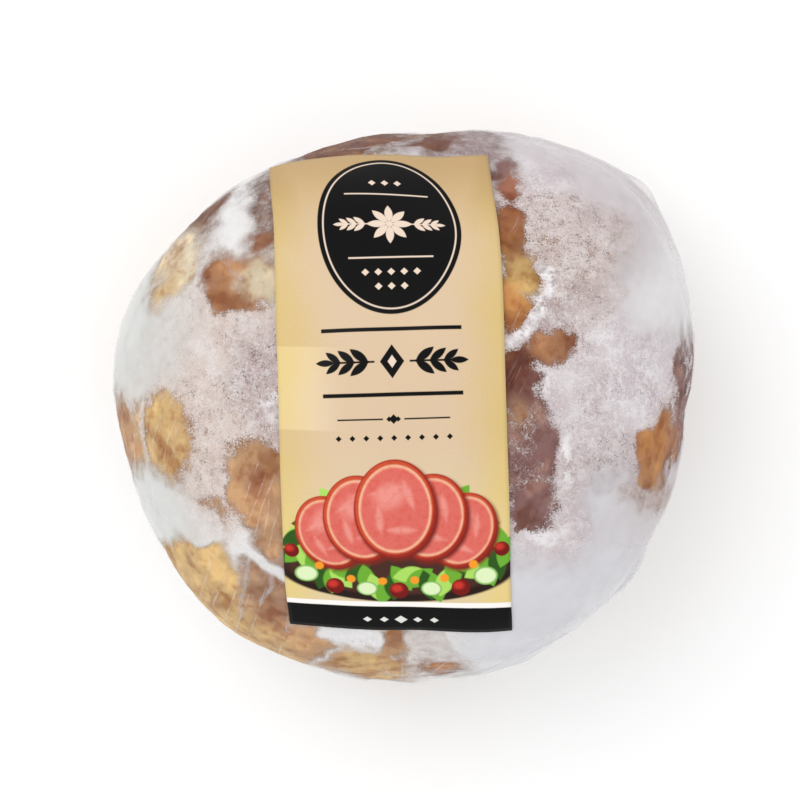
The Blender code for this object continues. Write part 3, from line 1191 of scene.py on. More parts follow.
@dataclass(frozen=True)
class FilmFinish(Finish):
    """Clear shrunk film: almost unseen where it clings, and milky where it is fogged."""

    name = "clear film"
    roughness: float = 0.22
    least_alpha: float = 0.01
    mist: Clouds = Clouds(60.0, 2.0, 0.55)
    misty: Rise = Rise(0.3, 0.7, 0.65, 1.0)
    wisp_swell: Triple = (3 * MM, 14 * MM, 8 * MM)
    wisp_turn: float = -30
    wispy: Rise = Rise(0.4, 0.7, 0.0, 0.03)
    white: Colour = ink(232, 232, 234)
    white_share: float = 0.25

    def join(self, wiring: Wiring, shader: bpy.types.Node) -> None:
        """Join the material's nodes: fog and wisps on almost clear film."""
        place = wiring.place()
        mist = wiring.eased(wiring.clouds(place, *self.mist), *self.misty)
        fogged = wiring.product(wiring.field("fog"), mist)
        wisps = wiring.clouds(wiring.stretched(place, self.wisp_swell, self.wisp_turn), 1.0)
        alpha = wiring.total(fogged, wiring.eased(wisps, *self.wispy))
        tint = wiring.field("frost tint", colour=True)
        wiring.fill(shader, {
            "Alpha": wiring.total(alpha, self.least_alpha),
            "Base Color": wiring.blend(self.white_share, tint, self.white),
            "Roughness": self.roughness,
        })


@dataclass(frozen=True)
class CreaseFinish(Finish):
    """Film creases in pale white, partly whitened film and partly painted highlight along each fold, broken
    off along each crease.
    """

    name = "creased film and painted highlight"
    roughness: float = 0.4
    breaks: Clouds = Clouds(260.0, 3.0, 0.6)
    alpha: Rise = Rise(0.40, 0.62, 0.02, 0.14)
    # Pale white: whitened film of the folds, and partly painted highlight along them.
    colour: Colour = ink(232, 228, 226)

    def join(self, wiring: Wiring, shader: bpy.types.Node) -> None:
        """Join the material's nodes."""
        breaks = wiring.clouds(wiring.place(), *self.breaks)
        wiring.fill(shader, {
            "Alpha": wiring.eased(breaks, *self.alpha),
            "Base Color": self.colour,
            "Roughness": self.roughness,
        })


@dataclass(frozen=True)
class GrainFinish(Finish):
    """Loose white frost grains."""

    name = "frost grains"
    roughness: float = 0.6
    shades: Clouds = Clouds(1500.0, 1.0, 0.5)
    lit: Rise = Rise(0.35, 0.65)
    dull: Colour = ink(214, 206, 209)
    white: Colour = ink(240, 238, 240)

    def join(self, wiring: Wiring, shader: bpy.types.Node) -> None:
        """Join the material's nodes."""
        lit = wiring.eased(wiring.clouds(wiring.place(), *self.shades), *self.lit)
        wiring.fill(shader, {
            "Base Color": wiring.blend(lit, self.dull, self.white),
            "Roughness": self.roughness,
        })


@dataclass(frozen=True)
class FloorFinish(Finish):
    """The plain pale floor."""

    name = "pale floor"
    colour: Colour = (0.98, 0.98, 0.98, 1.0)
    roughness: float = 0.9

    def join(self, wiring: Wiring, shader: bpy.types.Node) -> None:
        """Set the shader's colour and roughness."""
        wiring.fill(shader, {"Base Color": self.colour, "Roughness": self.roughness})


@dataclass(frozen=True)
class Mark:
    """One printed mark: its shape, ink, middle and half sizes in millimetres, and turn."""

    shape: Shape
    ink: Colour
    x: float
    y: float
    half_width: float
    half_height: float
    turn: float = 0.0
    edge: float = 0.12

    def inputs(self, place: Socket) -> dict:
        """What its shape's node group takes, at a place in millimetres on the label."""
        cosine, sine = math.cos(self.turn), math.sin(self.turn)
        return {
            "Place": place,
            "Middle": (self.x, self.y, 0.0),
            "Across": (cosine / self.half_width, sine / self.half_width, 0.0),
            "Upward": (-sine / self.half_height, cosine / self.half_height, 0.0),
            "Band": self.edge / min(self.half_width, self.half_height),
            "Ratio": self.half_width / self.half_height,
        }


class LabelPrint:
    """What is printed on the label: plain fields, rules and ornaments, and a dish of slices."""

    BLACK = ink(9, 8, 8)
    PALE = ink(226, 206, 188)
    WHITE = ink(244, 240, 236)
    FOOT_PALE = ink(222, 220, 216)
    SLICE_SHADE = ink(120, 36, 28)
    RIND = ink(150, 40, 30)
    CRUST = ink(196, 78, 50)
    FAT = ink(236, 182, 150)
    LEAN = ink(214, 104, 94)
    LEAN_PALE = ink(228, 142, 132)
    LEAF = ink(104, 168, 50)
    LEAF_PALE = ink(166, 214, 96)
    LEAF_DARK = ink(44, 84, 28)
    DISH = ink(38, 24, 20)
    DISH_INSIDE = ink(70, 42, 34)
    TOMATO = ink(112, 22, 20)
    TOMATO_LIT = ink(196, 52, 40)
    CUCUMBER = ink(216, 234, 186)
    CUCUMBER_RIND = ink(124, 176, 92)
    ORANGE = ink(240, 150, 40)

    PLAQUE_X = 0.7
    PLAQUE_Y = 40.2
    PLAQUE_SIZE = (17.9, 23.6)
    ROSETTE_Y = 41
    RULES_X = 0.3
    PETALS = 8
    PETAL_REACH = 3.1
    LEAVES_BEHIND = 26
    LEAVES_BESIDE = 12
    MARBLES = 4
    MARBLE_STEP = 1.45
    WHITE_LINE_Y = -58.0
    BAND_Y = -63.2
    PAST_EDGE = 30

    # A sprig's proportions, as shares of its size.
    STEM_STEP = 0.62
    STEM_WIDTH = 0.045
    FIRST_PAIR = 0.35
    PAIR_STEP = 0.6
    LEAF_LENGTH = 0.52
    LEAF_SHRINKAGE = 0.05
    # A leaf's turn from the stem, and where its middle is and how wide it is, as shares of its length.
    LEAF_TURN = math.radians(38)
    LEAF_AHEAD = 0.6
    LEAF_ASIDE = 0.52
    LEAF_WIDTH = 0.36

    # Each ring's ink, its shift right and up, its half sizes and how soft its edge is.
    SLICE_RINGS = (
        (SLICE_SHADE, 0.5, -0.7, 9.6, 11.8, 0.7),
        (RIND, 0.0, 0.0, 9.4, 11.6, 0.12),
        (CRUST, -0.2, 0.25, 8.9, 11.1, 0.3),
        (FAT, 0.0, 0.0, 8.3, 10.4, 0.25),
        (LEAN, 0.0, 0.0, 7.8, 9.8, 0.4),
    )
    # Each slice's middle, its lean in degrees and its size, the hindmost first.
    SLICES = (
        (-16.5, -37.5, 24, 0.86),
        (16.5, -37.5, -24, 0.86),
        (-8.6, -34.0, 12, 0.97),
        (8.6, -34.0, -12, 0.97),
        (0, -31.6, 0, 1.08),
    )
    # Each slice of cucumber and each tomato, by its middle and half size.
    CUCUMBERS = ((-22.5, -49, 3.0), (22, -49.5, 3.0), (-7.5, -53, 2.6), (8.5, -53, 2.6))
    TOMATOES = (
        (-15.5, -52.5, 2.3),
        (15.8, -52.6, 2.3),
        (0.4, -53.6, 2.4),
        (-26, -42.5, 1.9),
        (26, -42.5, 1.9),
    )
    ORANGES = ((-11.4, -50.2), (11.8, -50), (-3.6, -50.8), (4.4, -50.6), (19, -46.4), (-19.2, -46.6))
    ORANGE_SIZE = 1.1

    def __init__(self) -> None:
        """Lay out every mark, the lowest first."""
        self.marks: list[Mark] = []
        self.lay_plaque()
        self.lay_rules()
        self.lay_dish()
        self.marbled = len(self.marks)
        self.lay_garnish()
        self.lay_foot()

    def add(self, shape: Shape, colour: Colour, *numbers: float, **more: float) -> None:
        """Add one mark on top of the others."""
        self.marks.append(Mark(shape, colour, *numbers, **more))

    def lay_row(self, colour: Colour, x: float, y: float, count: int, gap: float, size: float) -> None:
        """Lay a level row of lozenges.

        Args:
            colour: Their ink.
            x: Where the row's middle is.
            y: How high it is.
            count: How many there are.
            gap: How far apart their middles are.
            size: Each one's half width and half height.
        """
        for spot in range(count):
            self.add(Shape.LOZENGE, colour, x + gap * (spot - (count - 1) / 2), y, size, size)

    def lay_sprig(self, x: float, y: float, way: int, colour: Colour, size: float, leaves: int) -> None:
        """Lay a level sprig of paired leaves.

        Args:
            x: Where its stem starts.
            y: How high its stem is.
            way: 1 if it grows to the right, and -1 if to the left.
            colour: Its ink.
            size: How long a leaf is.
            leaves: How many pairs it has.
        """
        span = leaves * size * self.STEM_STEP
        self.add(Shape.BAR, colour, x + way * span / 2, y, span / 2, self.STEM_WIDTH * size)
        for pair in range(leaves):
            root = x + way * size * (self.FIRST_PAIR + self.PAIR_STEP * pair)
            length = size * (self.LEAF_LENGTH - self.LEAF_SHRINKAGE * pair)
            middle = root + way * length * self.LEAF_AHEAD
            for side in (1, -1):
                high = y + side * length * self.LEAF_ASIDE
                turn = self.LEAF_TURN * side * way
                self.add(Shape.LEAF, colour, middle, high, length, self.LEAF_WIDTH * length, turn)
        self.add(Shape.LEAF, colour, x + way * (span + size * 0.3), y, size * 0.42, size * 0.15)

    def lay_plaque(self) -> None:
        """The dark oval plaque with a thin pale line inside its edge, a rosette and two sprigs."""
        x, y = self.PLAQUE_X, self.ROSETTE_Y
        for colour, inset in ((self.BLACK, 0.0), (self.PALE, 1.2), (self.BLACK, 1.6)):
            width, height = self.PLAQUE_SIZE
            self.add(Shape.OVAL, colour, x, self.PLAQUE_Y, width - inset, height - inset)
        for petal in range(self.PETALS):
            turn = 2 * math.pi * petal / self.PETALS
            right, up = self.PETAL_REACH * math.cos(turn), self.PETAL_REACH * math.sin(turn)
            self.add(Shape.LEAF, self.PALE, x + right, y + up, 2.6, 1.0, turn)
        self.add(Shape.OVAL, self.PALE, x, y, 0.8, 0.8)
        self.lay_sprig(x + 5.2, y, 1, self.PALE, 3.4, 3)
        self.lay_sprig(x - 5.2, y, -1, self.PALE, 3.4, 3)
        for rule in (50.5, 31.5):
            self.add(Shape.BAR, self.PALE, x, rule, 10.5, 0.22)
        for row, count in ((54.5, 3), (27.6, 5), (23.8, 3)):
            self.lay_row(self.PALE, x, row, count, 3.2, 0.95)

    def lay_rules(self) -> None:
        """The two dark rules, and the dark sprigs and lozenges between and under them."""
        x, middle, lower = self.RULES_X, 4.9, -9.2
        for rule in (12.9, -3.2):
            self.add(Shape.BAR, self.BLACK, x, rule, 17.2, 0.5)
        self.add(Shape.LOZENGE, self.BLACK, x, middle, 3.0, 4.2)
        self.add(Shape.LOZENGE, self.PALE, x, middle, 1.1, 1.6)
        for way in (1, -1):
            self.lay_sprig(x + way * 4.3, middle, way, self.BLACK, 5.6, 3)
        for side in (-1, 1):
            self.add(Shape.BAR, self.BLACK, x + side * 8.2, lower, 5.6, 0.2)
            self.add(Shape.LOZENGE, self.BLACK, x + side * 1.1, lower, 0.7, 0.7)
        self.add(Shape.LOZENGE, self.BLACK, x, lower, 1.2, 1.2)
        self.lay_row(self.BLACK, x, -13.8, 9, 3.4, 0.75)

    def lay_slice(self, x: float, y: float, turn: float, size: float) -> None:
        """Lay one round slice: rind, a line of fat, lean, and paler marbling.

        Args:
            x: Where its middle is.
            y: How high its middle is.
            turn: Its lean, in degrees.
            size: Its size, where 1 is the usual one.
        """
        lean = math.radians(turn)
        for colour, right, up, width, height, edge in self.SLICE_RINGS:
            self.add(Shape.OVAL, colour, x + right, y + up, width * size, height * size, lean, edge=edge)
        for spot in range(self.MARBLES):
            bearing = lean + 0.7 + self.MARBLE_STEP * spot
            middle = x + 4.1 * size * math.cos(bearing), y + 5.2 * size * math.sin(bearing)
            self.add(Shape.LEAF, self.LEAN_PALE, *middle, 3.4 * size, 0.8 * size, bearing + 1.2, edge=0.7)
        self.add(Shape.OVAL, self.LEAN_PALE, x - 1.2, y + 3.4, 3.6 * size, 2.6 * size, lean + 0.5, edge=1.8)

    def lay_dish(self) -> None:
        """A dark dish with leaves and a fan of slices, like on both sides."""
        self.add(Shape.OVAL, self.DISH, 0.0, -46.5, 30, 10.6, edge=0.3)
        self.add(Shape.OVAL, self.DISH_INSIDE, 0.0, -46.0, 27.6, 8.8, edge=0.6)
        shades = (self.LEAF_DARK, self.LEAF, self.LEAF_PALE, self.LEAF)
        for number in range(self.LEAVES_BEHIND):
            share = number / (self.LEAVES_BEHIND - 1)
            x = -27 + 54 * share
            y = -44 - 7.5 * math.sin(math.pi * share) + 2.4 * math.sin(7.3 * number)
            turn = 1.9 * math.sin(2.7 * number)
            self.add(Shape.LEAF, shades[number % 4], x, y, 4.4, 2.2, turn, edge=0.3)
        for number in range(self.LEAVES_BESIDE):
            side = -1 if number % 2 else 1
            step = number // 2
            x = side * (15.5 + 1.9 * step)
            y = -29.5 - 2.0 * step + 1.4 * math.sin(3.1 * number)
            turn = side * (0.9 - 0.3 * step)
            self.add(Shape.LEAF, shades[(number + 1) % 4], x, y, 4.6, 2.1, turn, edge=0.3)
        for place in self.SLICES:
            self.lay_slice(*place)

    def lay_garnish(self) -> None:
        """The small round fruit and the slices of cucumber along the dish."""
        for x, y, size in self.CUCUMBERS:
            self.add(Shape.OVAL, self.CUCUMBER_RIND, x, y, size, size * 0.82)
            self.add(Shape.OVAL, self.CUCUMBER, x, y, size * 0.84, size * 0.68, edge=0.25)
        for x, y, size in self.TOMATOES:
            self.add(Shape.OVAL, self.TOMATO, x, y, size, size)
            self.add(Shape.OVAL, self.TOMATO_LIT, x - 0.5, y + 0.6, size * 0.55, size * 0.45, edge=0.6)
        for x, y in self.ORANGES:
            self.add(Shape.OVAL, self.ORANGE, x, y, self.ORANGE_SIZE, self.ORANGE_SIZE, edge=0.25)

    def lay_foot(self) -> None:
        """The white line and the dark band at the label's foot."""
        self.add(Shape.BAR, self.WHITE, 0.0, self.WHITE_LINE_Y, self.PAST_EDGE, 0.9)
        self.add(Shape.BAR, self.BLACK, 0.0, self.BAND_Y, self.PAST_EDGE, 4.6)
        for spot in range(-2, 3):
            size = 0.85 if spot else 1.25
            self.add(Shape.LOZENGE, self.FOOT_PALE, self.RULES_X + 4.2 * spot, -62.8, size * 1.3, size)


@dataclass(frozen=True)
class PrintFinish(CoatedFinish):
    """Coated label paper with its print, gold at the sides and cream in the middle.

    Places and swells are in millimetres from the label's middle.
    """

    name = "printed label"
    effects: SharedEffects
    width: float
    length: float
    roughness: float = 0.38
    sheen: float = 0.05
    gloss: float = 0.09
    gloss_roughness: float = 0.12
    wash: Clouds = Clouds(0.045, 3.0, 0.5)
    wash_reach: float = 14.0
    golden_sides: Rise = Rise(13.0, 30.0)
    upper_part: Rise = Rise(30.0, 66.0)
    lower_part: Rise = Rise(-10.0, -50.0)
    golden_top: float = 0.75
    creams: tuple[Colour, ...] = (ink(211, 186, 156), ink(202, 172, 134), ink(218, 198, 160))
    golds: tuple[Colour, ...] = (ink(209, 182, 122), ink(178, 148, 102), ink(223, 200, 132))
    marbling: Clouds = Clouds(0.55, 5.0, 0.65)
    marbled: Rise = Rise(0.48, 0.62, 0.0, 0.5)
    meaty: Rise = Rise(0.22, 0.34)
    redder: Triple = (0.90, 0.66, 0.58)
    # Painted light on the label's left band between its two folds: its slant, top, foot, reach and light.
    fold_slant: Triple = (0.06, 1.0, 0.0)
    fold_top: Rise = Rise(8.2, 7.8)
    fold_foot: Rise = Rise(-13.0, -12.4)
    fold_reach: Rise = Rise(-10.0, -22.0, 0.0, 0.4)
    fold_painted_light: Colour = ink(255, 250, 240)
    speckle: Clouds = Clouds(1.6, 3.0, 0.6)
    speckled: Rise = Rise(0.35, 0.7, 0.0, 0.10)
    speckle_light: Colour = ink(250, 236, 220)
    fibre: Clouds = Clouds(2.4, 3.0, 0.6)
    bump_strength: float = 0.08
    bump_depth: float = 0.05 * MM

    def join(self, wiring: Wiring, shader: bpy.types.Node) -> None:
        """Join the material's nodes: the ground, every mark of the print, painted light on the folded band at
        the left, and the paper.
        """
        flat = wiring.add("ShaderNodeUVMap", uv_map="print").outputs[0]
        sizes = (self.width / MM, self.length / MM, 1.0)
        inputs = {"Vector": flat, "Scale": sizes, "Location": (-sizes[0] / 2, -sizes[1] / 2, 0.0)}
        # One vector sum in between keeps the shader's compiled form small.
        place = wiring.vector("ADD", wiring.add("ShaderNodeMapping", inputs).outputs[0])
        across, upward = wiring.add("ShaderNodeSeparateXYZ", {0: place}).outputs[:2]
        colour = self.printed(wiring, place, self.ground(wiring, place, across, upward))
        # Painted light: the band at the left between the label's two folds is lightened, as if it faced the
        # lamp more.
        slanted = wiring.vector("DOT_PRODUCT", place, self.fold_slant)
        height = wiring.product(wiring.eased(slanted, *self.fold_top), wiring.eased(slanted, *self.fold_foot))
        fold = wiring.product(height, wiring.eased(across, *self.fold_reach))
        colour = wiring.blend(fold, colour, self.fold_painted_light, "SOFT_LIGHT")
        speckle = wiring.eased(wiring.clouds(place, *self.speckle), *self.speckled)
        colour = wiring.blend(speckle, colour, self.speckle_light, "SOFT_LIGHT")
        fibre = wiring.clouds(place, *self.fibre)
        wiring.fill(shader, {
            "Base Color": colour,
            "Roughness": self.roughness,
            **self.coated(wiring, fibre),
        })

    def ground(self, wiring: Wiring, place: Socket, across: Socket, upward: Socket) -> Socket:
        """The label's ground: cream in the middle, gold at the sides and towards the top."""
        wash = wiring.maths("SUBTRACT", wiring.clouds(place, *self.wash), 0.5)
        reach = wiring.total(wiring.maths("ABSOLUTE", across), wiring.product(wash, self.wash_reach))
        high = wiring.eased(upward, *self.upper_part)
        low = wiring.eased(upward, *self.lower_part)
        tones = []
        for middle, top, foot in (self.creams, self.golds):
            tones.append(wiring.blend(low, wiring.blend(high, middle, top), foot))
        golden = wiring.eased(reach, *self.golden_sides)
        share = wiring.maths("MAXIMUM", golden, wiring.product(high, self.golden_top))
        return wiring.blend(share, *tones)

    def printed(self, wiring: Wiring, place: Socket, colour: Socket) -> Socket:
        """Print every mark over a colour, with marbling on what is meaty before the garnish."""
        marbling = wiring.eased(wiring.clouds(place, *self.marbling), *self.marbled)
        design = LabelPrint()
        for number, mark in enumerate(design.marks):
            if number == design.marbled:
                red, green = wiring.add("ShaderNodeSeparateColor", {"Color": colour}).outputs[:2]
                meaty = wiring.eased(wiring.maths("SUBTRACT", red, green), *self.meaty)
                share = wiring.product(meaty, marbling)
                colour = wiring.blend(share, colour, wiring.times(colour, self.redder))
            mask = wiring.group(self.effects.marks[mark.shape], mark.inputs(place)).outputs["Mask"]
            colour = wiring.blend(mask, colour, mark.ink)
        return colour


@dataclass(frozen=True)
class FrozenHam:
    """The ham with its frost and film, as three closed layers of one form.

    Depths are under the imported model's skin, and ranges are of bareness. The heights of the
    muscles, seams, rind, fibres, lumps, grit, clumps and fluff are in millimetres.
    """

    form: PackForm
    frost: FrostMap
    film_depth: float = 0.05 * MM
    film_cling: float = 0.30 * MM
    film_ripple: float = 0.06 * MM
    frost_depth: float = 0.42 * MM
    meat_depth: float = 0.78 * MM
    corner_room: float = 0.6 * MM
    wrinkle_depth: float = 0.38 * MM
    meat_wrinkles: float = 0.7
    frost_wrinkles: float = 0.9
    window_rise: float = 0.34 * MM
    bare_dive: float = 1.1 * MM
    meat_clearance: float = 0.09 * MM
    frost_clearance: float = 0.03 * MM
    film_stretch: Triple = (1, 0.35, 0.6)
    fibre_stretch: Triple = (1, 0.25, 0.6)
    muscle_height: float = 0.30
    rind_height: float = 0.16
    fibre_height: float = 0.08
    seam_depth: float = 0.45
    seam_width: float = 0.05
    lump_height: float = 0.12
    grit_height: float = 0.10
    smooth_lumps: float = 0.25
    clump_height: float = 0.28
    fluff_height: float = 0.3
    corner_fog_depth: float = 2.5 * MM
    corner_fog: float = 0.35
    cleared: float = 0.95
    most_fog: float = 0.92
    cling_range: tuple[float, float] = (-0.3, 0.9)
    rise_range: tuple[float, float] = (-0.2, 0.8)
    dive_range: tuple[float, float] = (0.35, 1.0)
    loose_range: tuple[float, float] = (0.3, -0.5)
    clear_range: tuple[float, float] = (-0.6, 0.3)

    def base_depth(self) -> np.ndarray:
        """How far the contents stand back from the film where its corners are drawn out."""
        return np.clip(self.form.reach - self.form.round_reach - self.corner_room, 0, None)

    def film_line(self) -> np.ndarray:
        """How deep the film lies: it clings to bare meat, and is drawn in between its wrinkles."""
        cling = eased(self.frost.bareness, *self.cling_range) * self.film_cling
        ripple = rumple(self.form.points * np.array(self.film_stretch), Swell.FILM_RIPPLE)
        line = self.film_depth + cling + ripple * self.film_ripple
        return np.clip(line + self.wrinkle_depth * self.form.wrinkles, 0, None)

    def build_meat(self) -> bpy.types.Object:
        """Make the ham itself, with seams between its muscles and a fibrous rind.

        Returns:
            The piece.
        """
        points = self.form.points
        swell = rumple(points, Swell.MUSCLE) * self.muscle_height
        swell += rumple(points, Swell.RIND) * self.rind_height
        swell += rumple(points * np.array(self.fibre_stretch), Swell.FIBRE) * self.fibre_height
        seams = np.exp(-(rumple(points, Swell.SEAM) / self.seam_width) ** 2) * self.seam_depth
        depth = self.meat_depth + (seams - swell) * MM + self.base_depth()
        depth += self.meat_wrinkles * self.wrinkle_depth * self.form.wrinkles
        depth -= self.window_rise * eased(self.frost.bareness, *self.rise_range)
        depth = np.maximum(depth, self.film_line() + self.meat_clearance)
        return self.form.layer("ham", depth, {"meat tint": self.frost.meat})

    def build_frost(self) -> bpy.types.Object:
        """Make the frost, which dives under the meat where the pack is bare.

        Returns:
            The piece.
        """
        points, frost = self.form.points, self.frost
        lumps = rumple(points, Swell.FROST_LUMP) * self.lump_height
        lumps += rumple(points, Swell.FROST_GRIT) * self.grit_height
        lumps *= self.smooth_lumps + (1 - self.smooth_lumps) * frost.grain
        lumps += (self.clump_height + self.fluff_height * rumple(points, Swell.FROST_FLUFF)) * frost.clumps
        bare = eased(frost.bareness, *self.dive_range)
        depth = self.frost_depth - lumps * MM + self.base_depth() + bare * self.bare_dive
        depth += self.frost_wrinkles * self.wrinkle_depth * self.form.wrinkles
        depth = np.maximum(depth, self.film_line() + self.frost_clearance)
        loose = np.maximum(frost.grain ** 2, frost.clumps)
        fields = {
            "frost tint": frost.tint,
            "meat tint": frost.meat,
            "grain": frost.grain,
            "bareness": frost.bareness,
            "clump": frost.clumps,
            "loose grains": loose * eased(frost.bareness, *self.loose_range) * frost.shown,
        }
        return self.form.layer("frost", depth, fields)

    def build_film(self) -> bpy.types.Object:
        """Make the film, which clings to the bare meat and stands off at its corners.

        Returns:
            The piece.
        """
        gap = np.clip(self.base_depth() / self.corner_fog_depth, 0, 1)
        fog = self.frost.fog * (1 - self.cleared * eased(self.frost.bareness, *self.clear_range))
        fog = np.clip(fog + self.corner_fog * gap, 0, self.most_fog)
        return self.form.layer("film", self.film_line(), {"fog": fog, "frost tint": self.frost.tint})


class Growth:
    """A geometry node tree that grows a piece from a mesh, with named inputs."""

    def __init__(self, name: str, values: dict[str, float | int]) -> None:
        """Start the tree.

        Args:
            name: The tree's name.
            values: What its inputs are set to, by name. A whole number makes a whole-number input.
        """
        self.values = values
        self.tree = bpy.data.node_groups.new(name, "GeometryNodeTree")
        add = self.tree.interface.new_socket
        add("Geometry", in_out="INPUT", socket_type="NodeSocketGeometry")
        for key, value in values.items():
            kind = "NodeSocketInt" if isinstance(value, int) else "NodeSocketFloat"
            add(key, in_out="INPUT", socket_type=kind)
        add("Geometry", in_out="OUTPUT", socket_type="NodeSocketGeometry")
        self.wiring = Wiring(self.tree)
        self.given = self.wiring.add("NodeGroupInput").outputs

    def end(self, geometry: Socket, material: bpy.types.Material) -> None:
        """Make what was grown real, give it its finish, and put it out.

        Args:
            geometry: What was grown.
            material: Its finish.
        """
        real = self.wiring.add("GeometryNodeRealizeInstances", {"Geometry": geometry}).outputs[0]
        inputs = {"Geometry": real, "Material": material}
        dressed = self.wiring.add("GeometryNodeSetMaterial", inputs).outputs[0]
        self.wiring.add("NodeGroupOutput", {"Geometry": dressed})

    def grow(self, name: str, host: bpy.types.Mesh) -> bpy.types.Object:
        """Run the tree on a mesh, and keep what it makes as a plain mesh.

        Args:
            name: The new piece's name.
            host: The mesh that the tree starts from.

        Returns:
            The piece.
        """
        piece = bpy.data.objects.new(name, host)
        bpy.context.scene.collection.objects.link(piece)
        modifier = piece.modifiers.new("grown", "NODES")
        modifier.node_group = self.tree
        for item in self.tree.interface.items_tree:
            if item.in_out == "INPUT" and item.name in self.values:
                modifier[item.identifier] = self.values[item.name]
        evaluated = piece.evaluated_get(bpy.context.evaluated_depsgraph_get())
        mesh = bpy.data.meshes.new_from_object(evaluated)
        piece.modifiers.clear()
        piece.data = mesh
        mesh.name = name
        return piece


@dataclass(frozen=True)
class LooseGrains:
    """Loose grains of frost: small pyramids that a node tree scatters over the frost."""

    size: float = 0.19 * MM
    per_square_metre: float = 2.6e6
    seed: int = 3
    corners: int = 4
    full_turn: float = 6.28
    least_scale: float = 0.45
    most_scale: float = 1.25

    def build(self, host: bpy.types.Object, material: bpy.types.Material) -> bpy.types.Object:
        """Scatter the grains by the field of loose grains.

        Args:
            host: The frost that they lie on.
            material: The grains' finish.

        Returns:
            The piece.
        """
        values = {
            "Grain Size": self.size,
            "Grains per Square Metre": self.per_square_metre,
            "Seed": self.seed,
        }
        growth = Growth("scatter frost grains", values)
        wiring, given = growth.wiring, growth.given
        inputs = {"Name": "loose grains"}
        field = wiring.add("GeometryNodeInputNamedAttribute", inputs, data_type="FLOAT")
        density = wiring.product(field.outputs["Attribute"], given["Grains per Square Metre"])
        inputs = {"Mesh": given["Geometry"], "Density": density, "Seed": given["Seed"]}
        points = wiring.add("GeometryNodeDistributePointsOnFaces", inputs).outputs["Points"]
        size = given["Grain Size"]
        inputs = {"Vertices": self.corners, "Radius Bottom": size, "Depth": size}
        grain = wiring.add("GeometryNodeMeshCone", inputs).outputs["Mesh"]
        inputs = {1: (self.full_turn, self.full_turn, self.full_turn)}
        turn = wiring.add("FunctionNodeRandomValue", inputs, data_type="FLOAT_VECTOR").outputs[0]
        inputs = {2: self.least_scale, 3: self.most_scale}
        scale = wiring.add("FunctionNodeRandomValue", inputs, data_type="FLOAT").outputs[1]
        inputs = {"Points": points, "Instance": grain, "Rotation": turn, "Scale": scale}
        growth.end(wiring.add("GeometryNodeInstanceOnPoints", inputs).outputs[0], material)
        return growth.grow("frost_grains", host.data)


CREASES = {
    "folds of the lower right": (
        ((492, 666), (532, 646), (572, 622), (604, 604), (626, 591)),
        ((548, 652), (588, 628), (618, 606)),
    ),
    "faint fold of the right": (((600, 540), (632, 548), (656, 540)),),
    "fold of the right corner": (((690, 352), (684, 384), (680, 420), (670, 470)),),
    "left gold": (
        ((148, 466), (154, 436), (162, 410)),
        ((162, 468), (168, 438), (178, 414)),
        ((172, 458), (176, 432), (184, 418)),
    ),
    "left edge": (((136, 478), (134, 440), (136, 404)),),
    "streaked brown": (
        ((240, 516), (250, 484), (264, 448)),
        ((254, 540), (262, 506), (277, 470)),
        ((268, 552), (274, 524), (282, 502)),
        ((246, 528), (258, 496), (266, 474)),
        ((262, 546), (268, 514), (270, 486)),
    ),
    "diagonal crease": (((212, 529), (246, 550), (292, 588)),),
    "belly": (
        ((196, 606), (206, 578), (214, 552)),
        ((222, 628), (234, 596), (244, 564)),
        ((246, 642), (258, 612), (268, 580)),
        ((278, 656), (286, 632), (288, 606)),
        ((208, 616), (220, 588), (230, 572)),
        ((234, 634), (246, 604), (252, 586)),
    ),
    "pleats of the gather": (
        ((392, 684), (384, 662), (360, 640)),
        ((402, 684), (402, 660), (396, 636)),
        ((412, 684), (424, 660), (430, 636)),
        ((422, 682), (446, 662), (470, 640)),
        ((432, 680), (466, 668), (500, 650)),
    ),
    "crease over the label": (((330, 150), (366, 148), (398, 142), (430, 133)),),
}


@dataclass(frozen=True)
class FilmCreases:
    """Creases of the film: thin ridges that a node tree sweeps along traced lines."""

    radius: float = 0.27 * MM
    spacing: float = 0.7 * MM
    corners: int = 6
    end_share: float = 0.1

    def build(self, skin: BVHTree, camera: Overhead, material: bpy.types.Material) -> bpy.types.Object:
        """Trace every crease over the skin, and sweep its ridge, which is widest halfway along.

        Args:
            skin: The pack's skin.
            camera: The camera that the creases were traced with.
            material: The ridges' finish.

        Returns:
            The piece.
        """
        growth = Growth("sweep film creases", {"Radius": self.radius, "Spacing": self.spacing})
        wiring, given = growth.wiring, growth.given
        lines = wiring.add("GeometryNodeMeshToCurve", {"Mesh": given["Geometry"]}).outputs[0]
        inputs = {"Curve": lines, "Length": given["Spacing"]}
        even = wiring.add("GeometryNodeResampleCurve", inputs, mode="LENGTH").outputs[0]
        along = wiring.add("GeometryNodeSplineParameter").outputs["Factor"]
        rest = wiring.maths("SUBTRACT", 1.0, along)
        taper = wiring.product(wiring.product(along, rest), 4.0)
        taper = wiring.total(wiring.product(taper, 1 - self.end_share), self.end_share)
        width = wiring.product(taper, given["Radius"])
        inputs = {"Resolution": self.corners, "Radius": 1.0}
        ring = wiring.add("GeometryNodeCurvePrimitiveCircle", inputs, mode="RADIUS").outputs["Curve"]
        inputs = {"Curve": even, "Profile Curve": ring, "Scale": width, "Fill Caps": True}
        growth.end(wiring.add("GeometryNodeCurveToMesh", inputs).outputs[0], material)
        return growth.grow("film_creases", self.traced(skin, camera))

    def traced(self, skin: BVHTree, camera: Overhead) -> bpy.types.Mesh:
        """Lay every crease's line over the skin."""
        points: list[Vector] = []
        edges: list[tuple[int, int]] = []
        for line in chain.from_iterable(CREASES.values()):
            found = camera.traced(skin, line)
            edges += [(len(points) + i, len(points) + i + 1) for i in range(len(found) - 1)]
            points += found
        mesh = bpy.data.meshes.new("crease lines")
        mesh.from_pydata(points, edges, [])
        return mesh


Row = list[tuple[Vector, Vector]]


